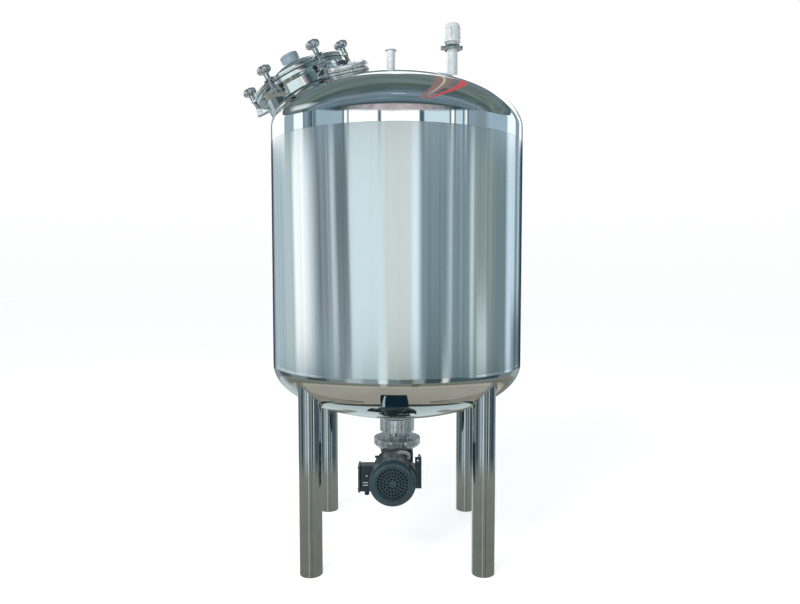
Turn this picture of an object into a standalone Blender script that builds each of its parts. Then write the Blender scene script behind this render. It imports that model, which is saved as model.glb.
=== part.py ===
"""Upright mixing tank on four tube legs, with a tilted manway and a bottom drive.

Metres, +Z up, front towards -Y. The vessel's axis is upright and stands a little to the right of
the origin, which lies on the floor under the middle of the whole outline.
"""

import math

import bmesh
import bpy
from mathutils import Matrix, Vector

# Vessel
TANK_X = 0.0667
R_SHELL = 0.600
WALL = 0.005
SEAM_BOTTOM = 0.906
SEAM_TOP = 1.933
TOP_FLANGE = 0.066
TOP_DEPTH = 0.262
BOTTOM_FLANGE = 0.012
BOTTOM_DEPTH = 0.256
GAP = 0.0003
PAST = 0.1

# Legs
LEG_REACH = 0.381
R_LEG = 0.051
LEG_WALL = 0.003
FOOT_PLATE = 0.008

# Manway, measured along its own tilted axis from a point just inside the head
MANWAY_REACH = 0.419
MANWAY_Z = 2.1622
MANWAY_TURN = math.radians(6.5)
MANWAY_TILT = math.radians(27.0)
R_NECK = 0.200
R_RIM = 0.235
NECK_WALL = 0.005
FLANGE_LOW = 0.0610
FLANGE_HIGH = 0.0797
GASKET = 0.0030
LID_HIGH = 0.1020
LID_RISE = 0.072
LID_WALL = 0.005
R_LID_PORT = 0.044
R_LID_PORT_BORE = 0.030
LID_PORT_HEIGHT = 0.040
LID_GLASS = 0.008
LID_GLASS_RIM = 0.006
GLASS_PLAY = 0.0006
CHAMFER = 0.003
GASKET_PROUD = 0.018

# Swing bolts
BOLT_COUNT = 6
BOLT_FIRST = math.radians(-6.7)
BOLT_CIRCLE = 0.2425
PIVOT_HEIGHT = 0.0480
R_ROD = 0.0065
R_EYE = 0.0130
EYE_WIDTH = 0.013
R_PIN = 0.0050
PIN_PLAY = 0.0005
PIN_PROUD = 0.004
LUG_GAP = 0.016
EAR_THICK = 0.007
LUG_LENGTH = 0.019
LUG_DROP = 0.0150
LUG_PLATE = 0.006
LUG_WIDTH = 0.044
EYE_COVER = 0.9
SLOT_WIDTH = 0.019
SLOT_DEPTH = 0.0035
LID_EAR_WIDTH = 0.050
LID_EAR_END = 0.012
LID_EAR_THICK = 0.012
LID_EAR_ROOT = 0.012
KNOB_PLAY = 0.0016
R_SLEEVE = 0.0130
KNOB_LOW = 0.087
KNOB_HIGH = 0.115
KNOB_SKIRT = 0.004
KNOB_ROUND = 0.005
KNOB_WAVE = 0.07
KNOB_CAP = 0.006
R_KNOB = 0.033
KNOB_LOBES = 6

# Hinge of the lid, on the side away from the front
HINGE_ANGLE = math.radians(83.3)
HINGE_REACH = 0.272
HINGE_HEIGHT = 0.092
HINGE_WIDTH = 0.052
HINGE_EAR = 0.008
HINGE_PLAY = 0.0012
HINGE_FOOT = 0.006
ARM_THICK = 0.008
ARM_REACH = 0.030
R_BARREL = 0.013

# Fittings on the top head, placed from the vessel's axis
SIGHT_X = -0.207
SIGHT_Y = -0.300
SIGHT_SINK = 0.010
SIGHT_TILT = math.radians(22.3)
R_SIGHT = 0.090
R_SIGHT_BORE = 0.050
R_SIGHT_GLASS = 0.066
SIGHT_BASE = 0.020
SIGHT_GASKET = 0.004
SIGHT_COVER = 0.018
NOZZLE_X = -0.027
NOZZLE_Y = -0.250
NOZZLE_TOP = 2.318
R_NOZZLE = 0.0190
R_FERRULE = 0.02525
TUBE_WALL = 0.0015
FERRULE = 0.0065
VENT_X = 0.268
VENT_Y = 0.020
R_VENT = 0.0265
R_VENT_FERRULE = 0.0325
VENT_JOINT = 2.414
R_CLAMP = 0.0400
CLAMP_HALF = 0.0115
CLAMP_PLAY = 0.0012
CLAMP_EAR_LEFT = 0.016
CLAMP_EAR_RIGHT = 0.010
CLAMP_EAR_HALF = 0.009
R_CLAMP_NUT = 0.0075
CLAMP_NUT_LENGTH = 0.021
R_FILTER = 0.0392
FILTER_TOP = 2.532
FILTER_BASE = 0.015
FILTER_DOME = 0.022

# Bottom drive
R_OUTLET = 0.0570
R_OUTLET_FERRULE = 0.0700
OUTLET_JOINT = 0.624
R_OUTLET_CLAMP = 0.0800
OUTLET_CLAMP_HALF = 0.0115
OUTLET_EAR = 0.020
OUTLET_EAR_HALF = 0.012
R_OUTLET_NUT = 0.009
OUTLET_NUT_LENGTH = 0.026
OUTLET_WALL = 0.003
R_HOUSING = 0.0850
HOUSING_HIGH = 0.6110
HOUSING_LOW = 0.5476
HOUSING_GROOVE = 0.5870
GROOVE = 0.0030
R_COUPLING = 0.0570
R_DRIVE_FLANGE = 0.1145
FLANGE_TOP = 0.5130
FLANGE_BASE = 0.4700
FLANGE_CHAMFER = 0.012
R_PORT = 0.010
PORT_RISE = 0.003
PORT_ANGLE = math.radians(-45.0)
GEARBOX_HALF = 0.078
GEARBOX_LOW = 0.336
GEARBOX_BACK = 0.100
GEARBOX_FRONT = -0.095
GEARBOX_ROUND = 0.014
MOTOR_X = -0.020
MOTOR_Z = 0.392
R_MOTOR = 0.092
R_ADAPTER = 0.078
MOTOR_BACK = -0.115
MOTOR_FRONT = -0.315
R_COVER = 0.1065
COVER_BACK = -0.282
COVER_FRONT = -0.360
COVER_SHEET = 0.002
COVER_SEAT = 0.0008
COVER_EDGE = 0.012
COVER_LIP = 0.003
BOX_BACK = -0.215
BOX_LOW = 0.332
BOX_HIGH = 0.4515
BOX_OUT = 0.146
BOX_LID = 0.012
BOX_LID_EDGE = 0.003
R_GLAND = 0.013
GLAND_LENGTH = 0.026
FOOT_X = 0.112
FOOT_Z = 0.407
FOOT_BACK = -0.150
FOOT_HALF = 0.062
FOOT_THICK = 0.012
STRAP_BAR = 0.006
STRAP_Y = 0.200
PLUG_Y = -0.065
PLUG_Z = 0.430
PLUG_LENGTH = 0.030
R_PLUG = 0.008

# Rounding of turned and swept shapes
STEPS_VESSEL = 40
STEPS_RIM = 36
STEPS_PIPE = 16
STEPS_SMALL = 12
STEPS_NUT = 8
HEAD_ARCS = 10

COLOURS = {
    "polished_steel": ((0.62, 0.65, 0.65), 0.08, 1.0),
    "brushed_steel": ((0.66, 0.70, 0.71), 0.32, 1.0),
    "machined_steel": ((0.60, 0.62, 0.63), 0.22, 1.0),
    "motor_paint": ((0.045, 0.105, 0.125), 0.38, 0.0),
    "cast_grey": ((0.50, 0.52, 0.54), 0.50, 0.3),
    "black_plastic": ((0.02, 0.02, 0.022), 0.45, 0.0),
    "gasket_white": ((0.80, 0.80, 0.77), 0.60, 0.0),
    "sight_glass": ((0.42, 0.50, 0.55), 0.05, 0.0),
}


def clear_scene():
    for obj in list(bpy.data.objects):
        bpy.data.objects.remove(obj, do_unlink=True)


def make_collection(name):
    collection = bpy.data.collections.new(name)
    bpy.context.scene.collection.children.link(collection)
    return collection


def make_materials():
    made = {}
    for name, (colour, roughness, metallic) in COLOURS.items():
        material = bpy.data.materials.new(name)
        material.use_nodes = True
        shader = material.node_tree.nodes["Principled BSDF"]
        shader.inputs["Base Color"].default_value = (*colour, 1.0)
        shader.inputs["Roughness"].default_value = roughness
        shader.inputs["Metallic"].default_value = metallic
        made[name] = material
    return made


def add_empty(name, parent=None, matrix=None):
    empty = bpy.data.objects.new(name, None)
    parts.objects.link(empty)
    empty.parent = parent
    if matrix is not None:
        empty.matrix_local = matrix
    return empty


def add_part(name, mesh, material, parent):
    """A named sub-part with its own material, shaded smooth away from its sharp edges."""
    obj = bpy.data.objects.new(name, mesh)
    parts.objects.link(obj)
    obj.parent = parent
    mesh.materials.clear()
    mesh.materials.append(materials[material])
    mesh.shade_smooth()
    mesh.set_sharp_from_angle(angle=math.radians(35))
    return obj


def add_cutter(name, mesh, parent):
    """A body that only cuts or joins others."""
    obj = bpy.data.objects.new(name, mesh)
    cutters.objects.link(obj)
    obj.parent = parent
    obj.hide_render = True
    obj.display_type = "WIRE"
    return obj


def combine(obj, operation, other):
    modifier = obj.modifiers.new(other.name, "BOOLEAN")
    modifier.operation = operation
    modifier.solver = "EXACT"
    modifier.object = other


def line_mesh(name, points, closed):
    """The half outline that a turned piece is spun from, in the XZ plane."""
    bm = bmesh.new()
    verts = [bm.verts.new((r, 0.0, z)) for r, z in points]
    for a, b in zip(verts, verts[1:]):
        bm.edges.new((a, b))
    if closed:
        bm.edges.new((verts[-1], verts[0]))
    mesh = bpy.data.meshes.new(name)
    bm.to_mesh(mesh)
    bm.free()
    return mesh


def spin(obj, steps):
    modifier = obj.modifiers.new("spin", "SCREW")
    modifier.axis = "Z"
    modifier.steps = steps
    modifier.render_steps = steps
    modifier.use_merge_vertices = True
    modifier.merge_threshold = 0.00001


def turned(name, points, steps, material, parent, closed=True):
    obj = add_part(name, line_mesh(name, points, closed), material, parent)
    spin(obj, steps)
    return obj


def turned_cutter(name, points, steps, parent, closed=False):
    obj = add_cutter(name, line_mesh(name, points, closed), parent)
    spin(obj, steps)
    return obj


def tube_outline(r_out, r_in, high, low):
    return [(r_out, high), (r_out, low), (r_in, low), (r_in, high)]


def block_mesh(name, low, high, bevel=0.0):
    bm = bmesh.new()
    size = [b - a for a, b in zip(low, high)]
    middle = [(a + b) / 2 for a, b in zip(low, high)]
    matrix = Matrix.Translation(middle) @ Matrix.Diagonal((*size, 1.0))
    bmesh.ops.create_cube(bm, size=1.0, matrix=matrix)
    if bevel:
        bmesh.ops.bevel(bm, geom=bm.edges[:], offset=bevel, segments=2, profile=0.5, affect="EDGES")
    mesh = bpy.data.meshes.new(name)
    bm.to_mesh(mesh)
    bm.free()
    return mesh


def rod_mesh(name, radius, start, end, steps):
    """A plain round bar from one point to another."""
    start, end = Vector(start), Vector(end)
    along = end - start
    turn = Vector((0, 0, 1)).rotation_difference(along).to_matrix().to_4x4()
    bm = bmesh.new()
    bmesh.ops.create_cone(
        bm,
        cap_ends=True,
        segments=steps,
        radius1=radius,
        radius2=radius,
        depth=along.length,
        matrix=Matrix.Translation((start + end) / 2) @ turn,
    )
    mesh = bpy.data.meshes.new(name)
    bm.to_mesh(mesh)
    bm.free()
    return mesh


def settled_mesh(obj, name):
    """The mesh that an object's modifiers give, in its parent's frame."""
    bpy.context.view_layer.update()
    graph = bpy.context.evaluated_depsgraph_get()
    mesh = bpy.data.meshes.new_from_object(obj.evaluated_get(graph))
    mesh.name = name
    return mesh


def ring_of_copies(name, mesh, angles):
    """Copies of one mesh turned about Z, as one mesh."""
    bm = bmesh.new()
    for angle in angles:
        mesh_turned = mesh.copy()
        mesh_turned.transform(Matrix.Rotation(angle, 4, "Z"))
        bm.from_mesh(mesh_turned)
        bpy.data.meshes.remove(mesh_turned)
    joined = bpy.data.meshes.new(name)
    bm.to_mesh(joined)
    bm.free()
    return joined


def dished_outline(depth, offset=0.0):
    """Quarter outline of an elliptical end, apex first: heights count from its tangent line."""
    points = []
    for i in range(HEAD_ARCS + 1):
        a = math.pi / 2 * i / HEAD_ARCS
        out = Vector((depth * math.sin(a), R_SHELL * math.cos(a))).normalized() * offset
        points.append((R_SHELL * math.sin(a) + out.x, depth * math.cos(a) + out.y))
    return points


def head_height(reach):
    """Height of the top head's outside at a distance from the vessel's axis."""
    return SEAM_TOP + TOP_FLANGE + TOP_DEPTH * math.sqrt(1.0 - (reach / R_SHELL) ** 2)


def tilted_frame(x, y, z, tilt, turn):
    """A frame at a point of the top head whose X points uphill and whose Z leans outwards."""
    place = Matrix.Translation((x, y, z))
    return place @ Matrix.Rotation(turn, 4, "Z") @ Matrix.Rotation(-tilt, 4, "Y")


def add_vessel():
    turned(
        "shell",
        tube_outline(R_SHELL, R_SHELL - WALL, SEAM_TOP, SEAM_BOTTOM),
        STEPS_VESSEL,
        "brushed_steel",
        tank,
    )
    top_line = SEAM_TOP + TOP_FLANGE
    outline = [(r, top_line + z) for r, z in dished_outline(TOP_DEPTH)]
    outline.append((R_SHELL, SEAM_TOP + GAP))
    top = turned("top_head", outline, STEPS_VESSEL, "polished_steel", tank, closed=False)
    thicken(top)
    bottom_line = SEAM_BOTTOM - BOTTOM_FLANGE
    dish = dished_outline(BOTTOM_DEPTH)
    outline = [(R_SHELL, SEAM_BOTTOM - GAP)]
    outline += [(r, bottom_line - z) for r, z in reversed(dish)]
    bottom = turned("bottom_head", outline, STEPS_VESSEL, "polished_steel", tank, closed=False)
    thicken(bottom)
    return top, bottom


def thicken(obj):
    modifier = obj.modifiers.new("wall", "SOLIDIFY")
    modifier.thickness = WALL
    modifier.offset = -1.0
    modifier.use_even_offset = True


def add_vessel_blocks():
    """The vessel's outside as solid bodies, a hair larger, that fit pieces to the heads."""
    top_line = SEAM_TOP + TOP_FLANGE
    outline = [(r, top_line + z) for r, z in dished_outline(TOP_DEPTH, GAP)]
    outline += [(R_SHELL + GAP, SEAM_TOP), (0.0, SEAM_TOP)]
    top = turned_cutter("top_block", outline, STEPS_VESSEL, tank)
    bottom_line = SEAM_BOTTOM - BOTTOM_FLANGE
    dish = dished_outline(BOTTOM_DEPTH, GAP)
    outline = [(0.0, SEAM_BOTTOM), (R_SHELL + GAP, SEAM_BOTTOM)]
    outline += [(r, bottom_line - z) for r, z in reversed(dish)]
    bottom = turned_cutter("bottom_block", outline, STEPS_VESSEL, tank)
    return top, bottom


def add_legs():
    corners = {
        "leg_front_left": (-1, -1),
        "leg_front_right": (1, -1),
        "leg_rear_left": (-1, 1),
        "leg_rear_right": (1, 1),
    }
    for name, (x, y) in corners.items():
        outline = [
            (R_LEG, SEAM_BOTTOM),
            (R_LEG, 0.0),
            (0.0, 0.0),
            (0.0, FOOT_PLATE),
            (R_LEG - LEG_WALL, FOOT_PLATE),
            (R_LEG - LEG_WALL, SEAM_BOTTOM),
        ]
        leg = turned(name, outline, STEPS_PIPE, "polished_steel", tank)
        leg.location = (x * LEG_REACH, y * LEG_REACH, 0.0)
        combine(leg, "DIFFERENCE", bottom_block)


def bolt_angles():
    return [BOLT_FIRST + 2 * math.pi * i / BOLT_COUNT for i in range(BOLT_COUNT)]


def add_manway_neck():
    """Neck tube with its flange, the lugs that carry the swing bolts, and the hinge's ears."""
    outline = [
        (R_RIM, FLANGE_HIGH),
        (R_RIM, FLANGE_LOW),
        (R_NECK, FLANGE_LOW),
        (R_NECK, -PAST),
        (R_NECK - NECK_WALL, -PAST),
        (R_NECK - NECK_WALL, FLANGE_HIGH),
    ]
    neck = turned("manway_neck", outline, STEPS_RIM, "polished_steel", manway)
    combine(neck, "DIFFERENCE", top_block)
    combine(neck, "UNION", add_bolt_lugs())
    combine(neck, "UNION", add_hinge_ears())
    return neck


def add_bolt_lugs():
    root = R_NECK - NECK_WALL / 2
    end = BOLT_CIRCLE + LUG_LENGTH
    low = PIVOT_HEIGHT - LUG_DROP - LUG_PLATE
    plate = block_mesh(
        "lug_plate_form",
        (root, -LUG_WIDTH / 2, low),
        (end, LUG_WIDTH / 2, low + LUG_PLATE),
    )
    lug = add_cutter("lug_form", plate, manway)
    inner = LUG_GAP / 2
    outer = inner + EAR_THICK
    for name, y in (("ear_near", (-outer, -inner)), ("ear_far", (inner, outer))):
        ear_low = (BOLT_CIRCLE - R_EYE, y[0], low + LUG_PLATE / 2)
        ear_high = (BOLT_CIRCLE + R_EYE, y[1], PIVOT_HEIGHT + R_EYE * EYE_COVER)
        combine(lug, "UNION", add_cutter(name, block_mesh(name, ear_low, ear_high), manway))
    pin_reach = outer + PIN_PROUD
    pin = rod_mesh(
        "bolt_pin",
        R_PIN,
        (BOLT_CIRCLE, -pin_reach, PIVOT_HEIGHT),
        (BOLT_CIRCLE, pin_reach, PIVOT_HEIGHT),
        STEPS_SMALL,
    )
    combine(lug, "UNION", add_cutter("bolt_pin", pin, manway))
    mesh = settled_mesh(lug, "lug")
    return add_cutter("bolt_lugs", ring_of_copies("bolt_lugs", mesh, bolt_angles()), manway)


def add_hinge_ears():
    inner = HINGE_WIDTH / 2
    ears = None
    for name, y in (("hinge_ear_a", -inner - HINGE_EAR), ("hinge_ear_b", inner)):
        low = (R_RIM + 0.001, y, FLANGE_LOW + CHAMFER)
        high = (HINGE_REACH + R_BARREL, y + HINGE_EAR, HINGE_HEIGHT + R_BARREL)
        mesh = block_mesh(name, low, high)
        ear = add_cutter(name, mesh, manway)
        if ears is None:
            ears = ear
        else:
            combine(ears, "UNION", ear)
    pin = rod_mesh(
        "hinge_pin",
        R_PIN,
        (HINGE_REACH, -inner - HINGE_EAR / 2, HINGE_HEIGHT),
        (HINGE_REACH, inner + HINGE_EAR / 2, HINGE_HEIGHT),
        STEPS_SMALL,
    )
    combine(ears, "UNION", add_cutter("hinge_pin", pin, manway))
    low = (R_RIM - HINGE_FOOT, -inner - HINGE_EAR, FLANGE_LOW + CHAMFER)
    high = (R_RIM + HINGE_FOOT, inner + HINGE_EAR, FLANGE_HIGH - CHAMFER)
    foot = add_cutter("hinge_foot", block_mesh("hinge_foot", low, high), manway)
    combine(ears, "UNION", foot)
    mesh = settled_mesh(ears, "hinge_ears")
    mesh.transform(Matrix.Rotation(HINGE_ANGLE, 4, "Z"))
    return add_cutter("hinge_ears", mesh, manway)


def dome_height(reach, shrink=0.0):
    """Height of the lid's dome at a distance from its axis; shrink gives its inner side."""
    radius = (R_NECK**2 + LID_RISE**2) / (2 * LID_RISE)
    centre = LID_HIGH + LID_RISE - radius
    return centre + math.sqrt((radius - shrink) ** 2 - reach**2)


def add_lid():
    arcs = 6
    reaches = [R_LID_PORT_BORE + (R_NECK - R_LID_PORT_BORE) * i / arcs for i in range(arcs + 1)]
    outline = [(r, dome_height(r)) for r in reaches]
    low = FLANGE_HIGH + GASKET + 2 * GAP
    outline += [(R_RIM, LID_HIGH), (R_RIM, low), (R_NECK - LID_WALL, low)]
    inner = [r for r in reaches if r < R_NECK - 2 * LID_WALL]
    outline += [(r, dome_height(r, LID_WALL)) for r in reversed(inner)]
    lid = turned("manway_lid", outline, STEPS_RIM, "polished_steel", manway)
    ear = block_mesh(
        "lid_ear_form",
        (R_RIM - LID_EAR_ROOT, -LID_EAR_WIDTH / 2, LID_HIGH - LID_EAR_THICK),
        (BOLT_CIRCLE + LID_EAR_END, LID_EAR_WIDTH / 2, LID_HIGH),
    )
    ears = ring_of_copies("lid_ears", ear, bolt_angles())
    combine(lid, "UNION", add_cutter("lid_ears", ears, manway))
    slot = block_mesh(
        "lid_slot_form",
        (BOLT_CIRCLE - SLOT_WIDTH / 2, -SLOT_WIDTH / 2, FLANGE_HIGH),
        (BOLT_CIRCLE + PAST, SLOT_WIDTH / 2, LID_HIGH + CHAMFER),
    )
    slots = add_cutter("bolt_slots", ring_of_copies("bolt_slots", slot, bolt_angles()), manway)
    combine(lid, "DIFFERENCE", slots)


def add_lid_port():
    """Turned ring with a glass on the crown of the lid."""
    middle = (R_LID_PORT + R_LID_PORT_BORE) / 2
    foot = [(r, dome_height(r) + GAP) for r in (R_LID_PORT, middle, R_LID_PORT_BORE)]
    high = dome_height(0.0) + LID_PORT_HEIGHT
    seat = high - LID_GLASS
    bed = R_LID_PORT - LID_GLASS_RIM
    outline = [(R_LID_PORT - CHAMFER, high), (R_LID_PORT, high - CHAMFER)]
    outline += foot
    outline += [(R_LID_PORT_BORE, seat), (bed, seat), (bed, high)]
    turned("lid_sight_ring", outline, STEPS_PIPE + 4, "cast_grey", manway)
    rim = bed - GLASS_PLAY
    top = high - 0.001
    glass = [(0.0, top), (rim, top), (rim, seat + GAP), (0.0, seat + GAP)]
    turned("lid_sight_glass", glass, STEPS_PIPE + 4, "sight_glass", manway, closed=False)


def add_hinge_arm():
    """Strap on the lid's rim with the barrel that turns on the hinge's pin."""
    half = HINGE_WIDTH / 2 - HINGE_PLAY
    low = (R_RIM - ARM_REACH, -half, LID_HIGH + GAP)
    high = (HINGE_REACH, half, LID_HIGH + ARM_THICK)
    arm = add_part("lid_hinge_arm", block_mesh("lid_hinge_arm", low, high), "polished_steel", manway)
    arm.rotation_euler = (0.0, 0.0, HINGE_ANGLE)
    turn = Matrix.Rotation(HINGE_ANGLE, 4, "Z")
    start = (HINGE_REACH, -half, HINGE_HEIGHT)
    end = (HINGE_REACH, half, HINGE_HEIGHT)
    barrel = rod_mesh("hinge_barrel", R_BARREL, start, end, STEPS_PIPE)
    barrel.transform(turn)
    combine(arm, "UNION", add_cutter("hinge_barrel", barrel, manway))
    bore = rod_mesh(
        "hinge_bore",
        R_PIN + PIN_PLAY,
        (HINGE_REACH, -HINGE_WIDTH, HINGE_HEIGHT),
        (HINGE_REACH, HINGE_WIDTH, HINGE_HEIGHT),
        STEPS_SMALL,
    )
    bore.transform(turn)
    combine(arm, "DIFFERENCE", add_cutter("hinge_bore", bore, manway))


def knob_mesh():
    """Lobed hand knob on a sleeve, bored for the rod; heights count from the pivot."""
    steps = KNOB_LOBES * 4
    bm = bmesh.new()
    circle = bmesh.ops.create_circle(bm, cap_ends=True, segments=steps, radius=R_KNOB)
    for vert in circle["verts"]:
        angle = math.atan2(vert.co.y, vert.co.x)
        vert.co *= 1.0 - KNOB_WAVE * (1.0 - math.cos(KNOB_LOBES * angle)) / 2
        vert.co.z = KNOB_LOW + KNOB_SKIRT
    raised = bmesh.ops.extrude_face_region(bm, geom=bm.faces[:])
    top = [v for v in raised["geom"] if isinstance(v, bmesh.types.BMVert)]
    bmesh.ops.translate(bm, verts=top, vec=(0, 0, KNOB_HIGH - KNOB_LOW - KNOB_SKIRT))
    rims = [e for e in bm.edges if abs(e.verts[0].co.z - e.verts[1].co.z) < 1e-6]
    bmesh.ops.bevel(
        bm, geom=rims, offset=KNOB_ROUND, segments=1, profile=0.5, affect="EDGES"
    )
    bmesh.ops.recalc_face_normals(bm, faces=bm.faces[:])
    mesh = bpy.data.meshes.new("knob_form")
    bm.to_mesh(mesh)
    bm.free()
    knob = add_cutter("knob_form", mesh, None)
    foot = LID_HIGH - PIVOT_HEIGHT + KNOB_PLAY
    sleeve = rod_mesh("sleeve_form", R_SLEEVE, (0, 0, foot), (0, 0, KNOB_LOW + 2 * KNOB_SKIRT), STEPS_SMALL)
    combine(knob, "UNION", add_cutter("sleeve_form", sleeve, None))
    bore = rod_mesh("knob_bore", R_ROD + GAP, (0, 0, 0), (0, 0, KNOB_HIGH - KNOB_CAP), STEPS_SMALL)
    combine(knob, "DIFFERENCE", add_cutter("knob_bore", bore, None))
    return settled_mesh(knob, "knob")


def bolt_mesh():
    """Eye on the pivot pin with the rod that stands on it."""
    half = EYE_WIDTH / 2
    form = rod_mesh("eye_form", R_EYE, (0, -half, 0), (0, half, 0), STEPS_PIPE)
    eye = add_cutter("eye_form", form, None)
    start = (0, 0, (R_PIN + R_EYE) / 2)
    rod = rod_mesh("rod_form", R_ROD, start, (0, 0, KNOB_HIGH - KNOB_CAP - 0.001), STEPS_SMALL)
    combine(eye, "UNION", add_cutter("rod_form", rod, None))
    hole = rod_mesh("eye_hole", R_PIN + PIN_PLAY, (0, -half * 2, 0), (0, half * 2, 0), STEPS_SMALL)
    combine(eye, "DIFFERENCE", add_cutter("eye_hole", hole, None))
    return settled_mesh(eye, "swing_bolt")


def add_swing_bolts():
    """Six swing bolts, each turning outwards on the pin of its lug."""
    rod = bolt_mesh()
    knob = knob_mesh()
    for i, angle in enumerate(bolt_angles(), 1):
        place = Matrix.Rotation(angle, 4, "Z") @ Matrix.Translation((BOLT_CIRCLE, 0, PIVOT_HEIGHT))
        pivot = add_empty(f"bolt_pivot_{i}", manway, place)
        add_part(f"swing_bolt_{i}", rod.copy(), "polished_steel", pivot)
        add_part(f"hand_knob_{i}", knob.copy(), "polished_steel", pivot)


def add_manway():
    neck = add_manway_neck()
    gasket_low = FLANGE_HIGH + GAP
    inner = R_NECK - NECK_WALL
    outline = tube_outline(R_NECK + GASKET_PROUD, inner, gasket_low + GASKET, gasket_low)
    turned("manway_gasket", outline, STEPS_RIM, "gasket_white", manway)
    add_lid()
    combine(neck, "DIFFERENCE", flange_slots())
    add_lid_port()
    add_hinge_arm()
    add_swing_bolts()
    bore = rod_mesh("manway_bore", inner, (0, 0, -2 * PAST), (0, 0, 2 * PAST), STEPS_RIM)
    combine(top_head, "DIFFERENCE", add_cutter("manway_bore", bore, manway))


def flange_slots():
    """Shallow slots in the neck's flange, in which the rods of the swing bolts stand."""
    slot = block_mesh(
        "flange_slot_form",
        (R_RIM - SLOT_DEPTH, -SLOT_WIDTH / 2, FLANGE_LOW - 0.0005),
        (BOLT_CIRCLE + PAST, SLOT_WIDTH / 2, FLANGE_HIGH + CHAMFER),
    )
    mesh = ring_of_copies("flange_slots", slot, bolt_angles())
    return add_cutter("flange_slots", mesh, manway)


def add_sight_glass():
    """Flanged sight glass: base ring on the head, gasket, glass and cover ring."""
    outline = tube_outline(R_SIGHT, R_SIGHT_BORE, SIGHT_BASE, -PAST / 2)
    base = turned("sight_base_ring", outline, STEPS_PIPE + 8, "machined_steel", sight)
    combine(base, "DIFFERENCE", top_block)
    bore = rod_mesh("sight_bore", R_SIGHT_BORE, (0, 0, -PAST), (0, 0, PAST), STEPS_PIPE + 8)
    combine(top_head, "DIFFERENCE", add_cutter("sight_bore", bore, sight))
    low = SIGHT_BASE + GAP
    glass = low + SIGHT_GASKET
    outline = [(0.0, glass), (R_SIGHT_GLASS, glass), (R_SIGHT_GLASS, low), (0.0, low)]
    turned("sight_glass_disc", outline, STEPS_PIPE + 8, "sight_glass", sight, closed=False)
    outline = tube_outline(R_SIGHT - 2 * CHAMFER, R_SIGHT_GLASS + GLASS_PLAY, glass, low)
    turned("sight_gasket", outline, STEPS_PIPE + 8, "gasket_white", sight)
    low = glass + GAP
    high = low + SIGHT_COVER
    outline = [
        (R_SIGHT - CHAMFER, high),
        (R_SIGHT, high - CHAMFER),
        (R_SIGHT, low),
        (R_SIGHT_BORE, low),
        (R_SIGHT_BORE + 2 * CHAMFER, high),
    ]
    turned("sight_cover_ring", outline, STEPS_PIPE + 8, "machined_steel", sight)


def ferrule_outline(r_tube, r_ferrule, face, low):
    """Thin tube that widens into a clamp ferrule, tapered below, at its upper end."""
    return [
        (r_ferrule, face),
        (r_ferrule, face - FERRULE * 0.45),
        (r_tube + 0.001, face - FERRULE),
        (r_tube, face - FERRULE * 2.5),
        (r_tube, low),
        (r_tube - TUBE_WALL, low),
        (r_tube - TUBE_WALL, face),
    ]


def add_inlet_nozzle():
    outline = ferrule_outline(R_NOZZLE, R_FERRULE, NOZZLE_TOP, SEAM_TOP)
    nozzle = turned("inlet_nozzle", outline, STEPS_PIPE, "polished_steel", tank)
    nozzle.location = (NOZZLE_X, NOZZLE_Y, 0.0)
    combine(nozzle, "DIFFERENCE", top_block)
    pierce_head("nozzle_bore", R_NOZZLE - TUBE_WALL, NOZZLE_X, NOZZLE_Y)


def pierce_head(name, radius, x, y):
    bore = rod_mesh(name, radius, (x, y, SEAM_TOP + PAST), (x, y, NOZZLE_TOP), STEPS_PIPE)
    combine(top_head, "DIFFERENCE", add_cutter(name, bore, tank))


def add_vent():
    """Vent pipe, clamp and the filter housing on it."""
    outline = ferrule_outline(R_VENT, R_VENT_FERRULE, VENT_JOINT - GAP / 2, SEAM_TOP)
    pipe = turned("vent_pipe", outline, STEPS_PIPE, "polished_steel", tank)
    pipe.location = (VENT_X, VENT_Y, 0.0)
    combine(pipe, "DIFFERENCE", top_block)
    pierce_head("vent_bore", R_VENT - TUBE_WALL, VENT_X, VENT_Y)
    high, low = VENT_JOINT + CLAMP_HALF, VENT_JOINT - CLAMP_HALF
    inner = R_VENT_FERRULE + GAP * 2
    clamp = turned(
        "vent_clamp",
        tube_outline(R_CLAMP, inner, high, low),
        STEPS_PIPE,
        "polished_steel",
        tank,
    )
    clamp.location = (VENT_X, VENT_Y, 0.0)
    ear_low = VENT_JOINT - CLAMP_HALF * 0.75
    ear_high = VENT_JOINT + CLAMP_HALF * 0.75
    left = block_mesh(
        "clamp_ear_left",
        (VENT_X - R_CLAMP - CLAMP_EAR_LEFT, VENT_Y - CLAMP_EAR_HALF, ear_low),
        (VENT_X - R_CLAMP + CHAMFER, VENT_Y + CLAMP_EAR_HALF, ear_high),
    )
    right = block_mesh(
        "clamp_ear_right",
        (VENT_X + R_CLAMP - CHAMFER, VENT_Y - CLAMP_EAR_HALF, ear_low),
        (VENT_X + R_CLAMP + CLAMP_EAR_RIGHT, VENT_Y + CLAMP_EAR_HALF, ear_high),
    )
    combine(clamp, "UNION", add_cutter("clamp_ear_left", left, tank))
    combine(clamp, "UNION", add_cutter("clamp_ear_right", right, tank))
    x = VENT_X - R_CLAMP - CLAMP_EAR_LEFT / 2
    start = (x, VENT_Y - CLAMP_EAR_HALF - GAP, VENT_JOINT)
    end = (x, VENT_Y - CLAMP_EAR_HALF - CLAMP_NUT_LENGTH, VENT_JOINT)
    nut = rod_mesh("vent_clamp_nut", R_CLAMP_NUT, start, end, STEPS_NUT)
    add_part("vent_clamp_nut", nut, "polished_steel", tank)
    add_filter()


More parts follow.
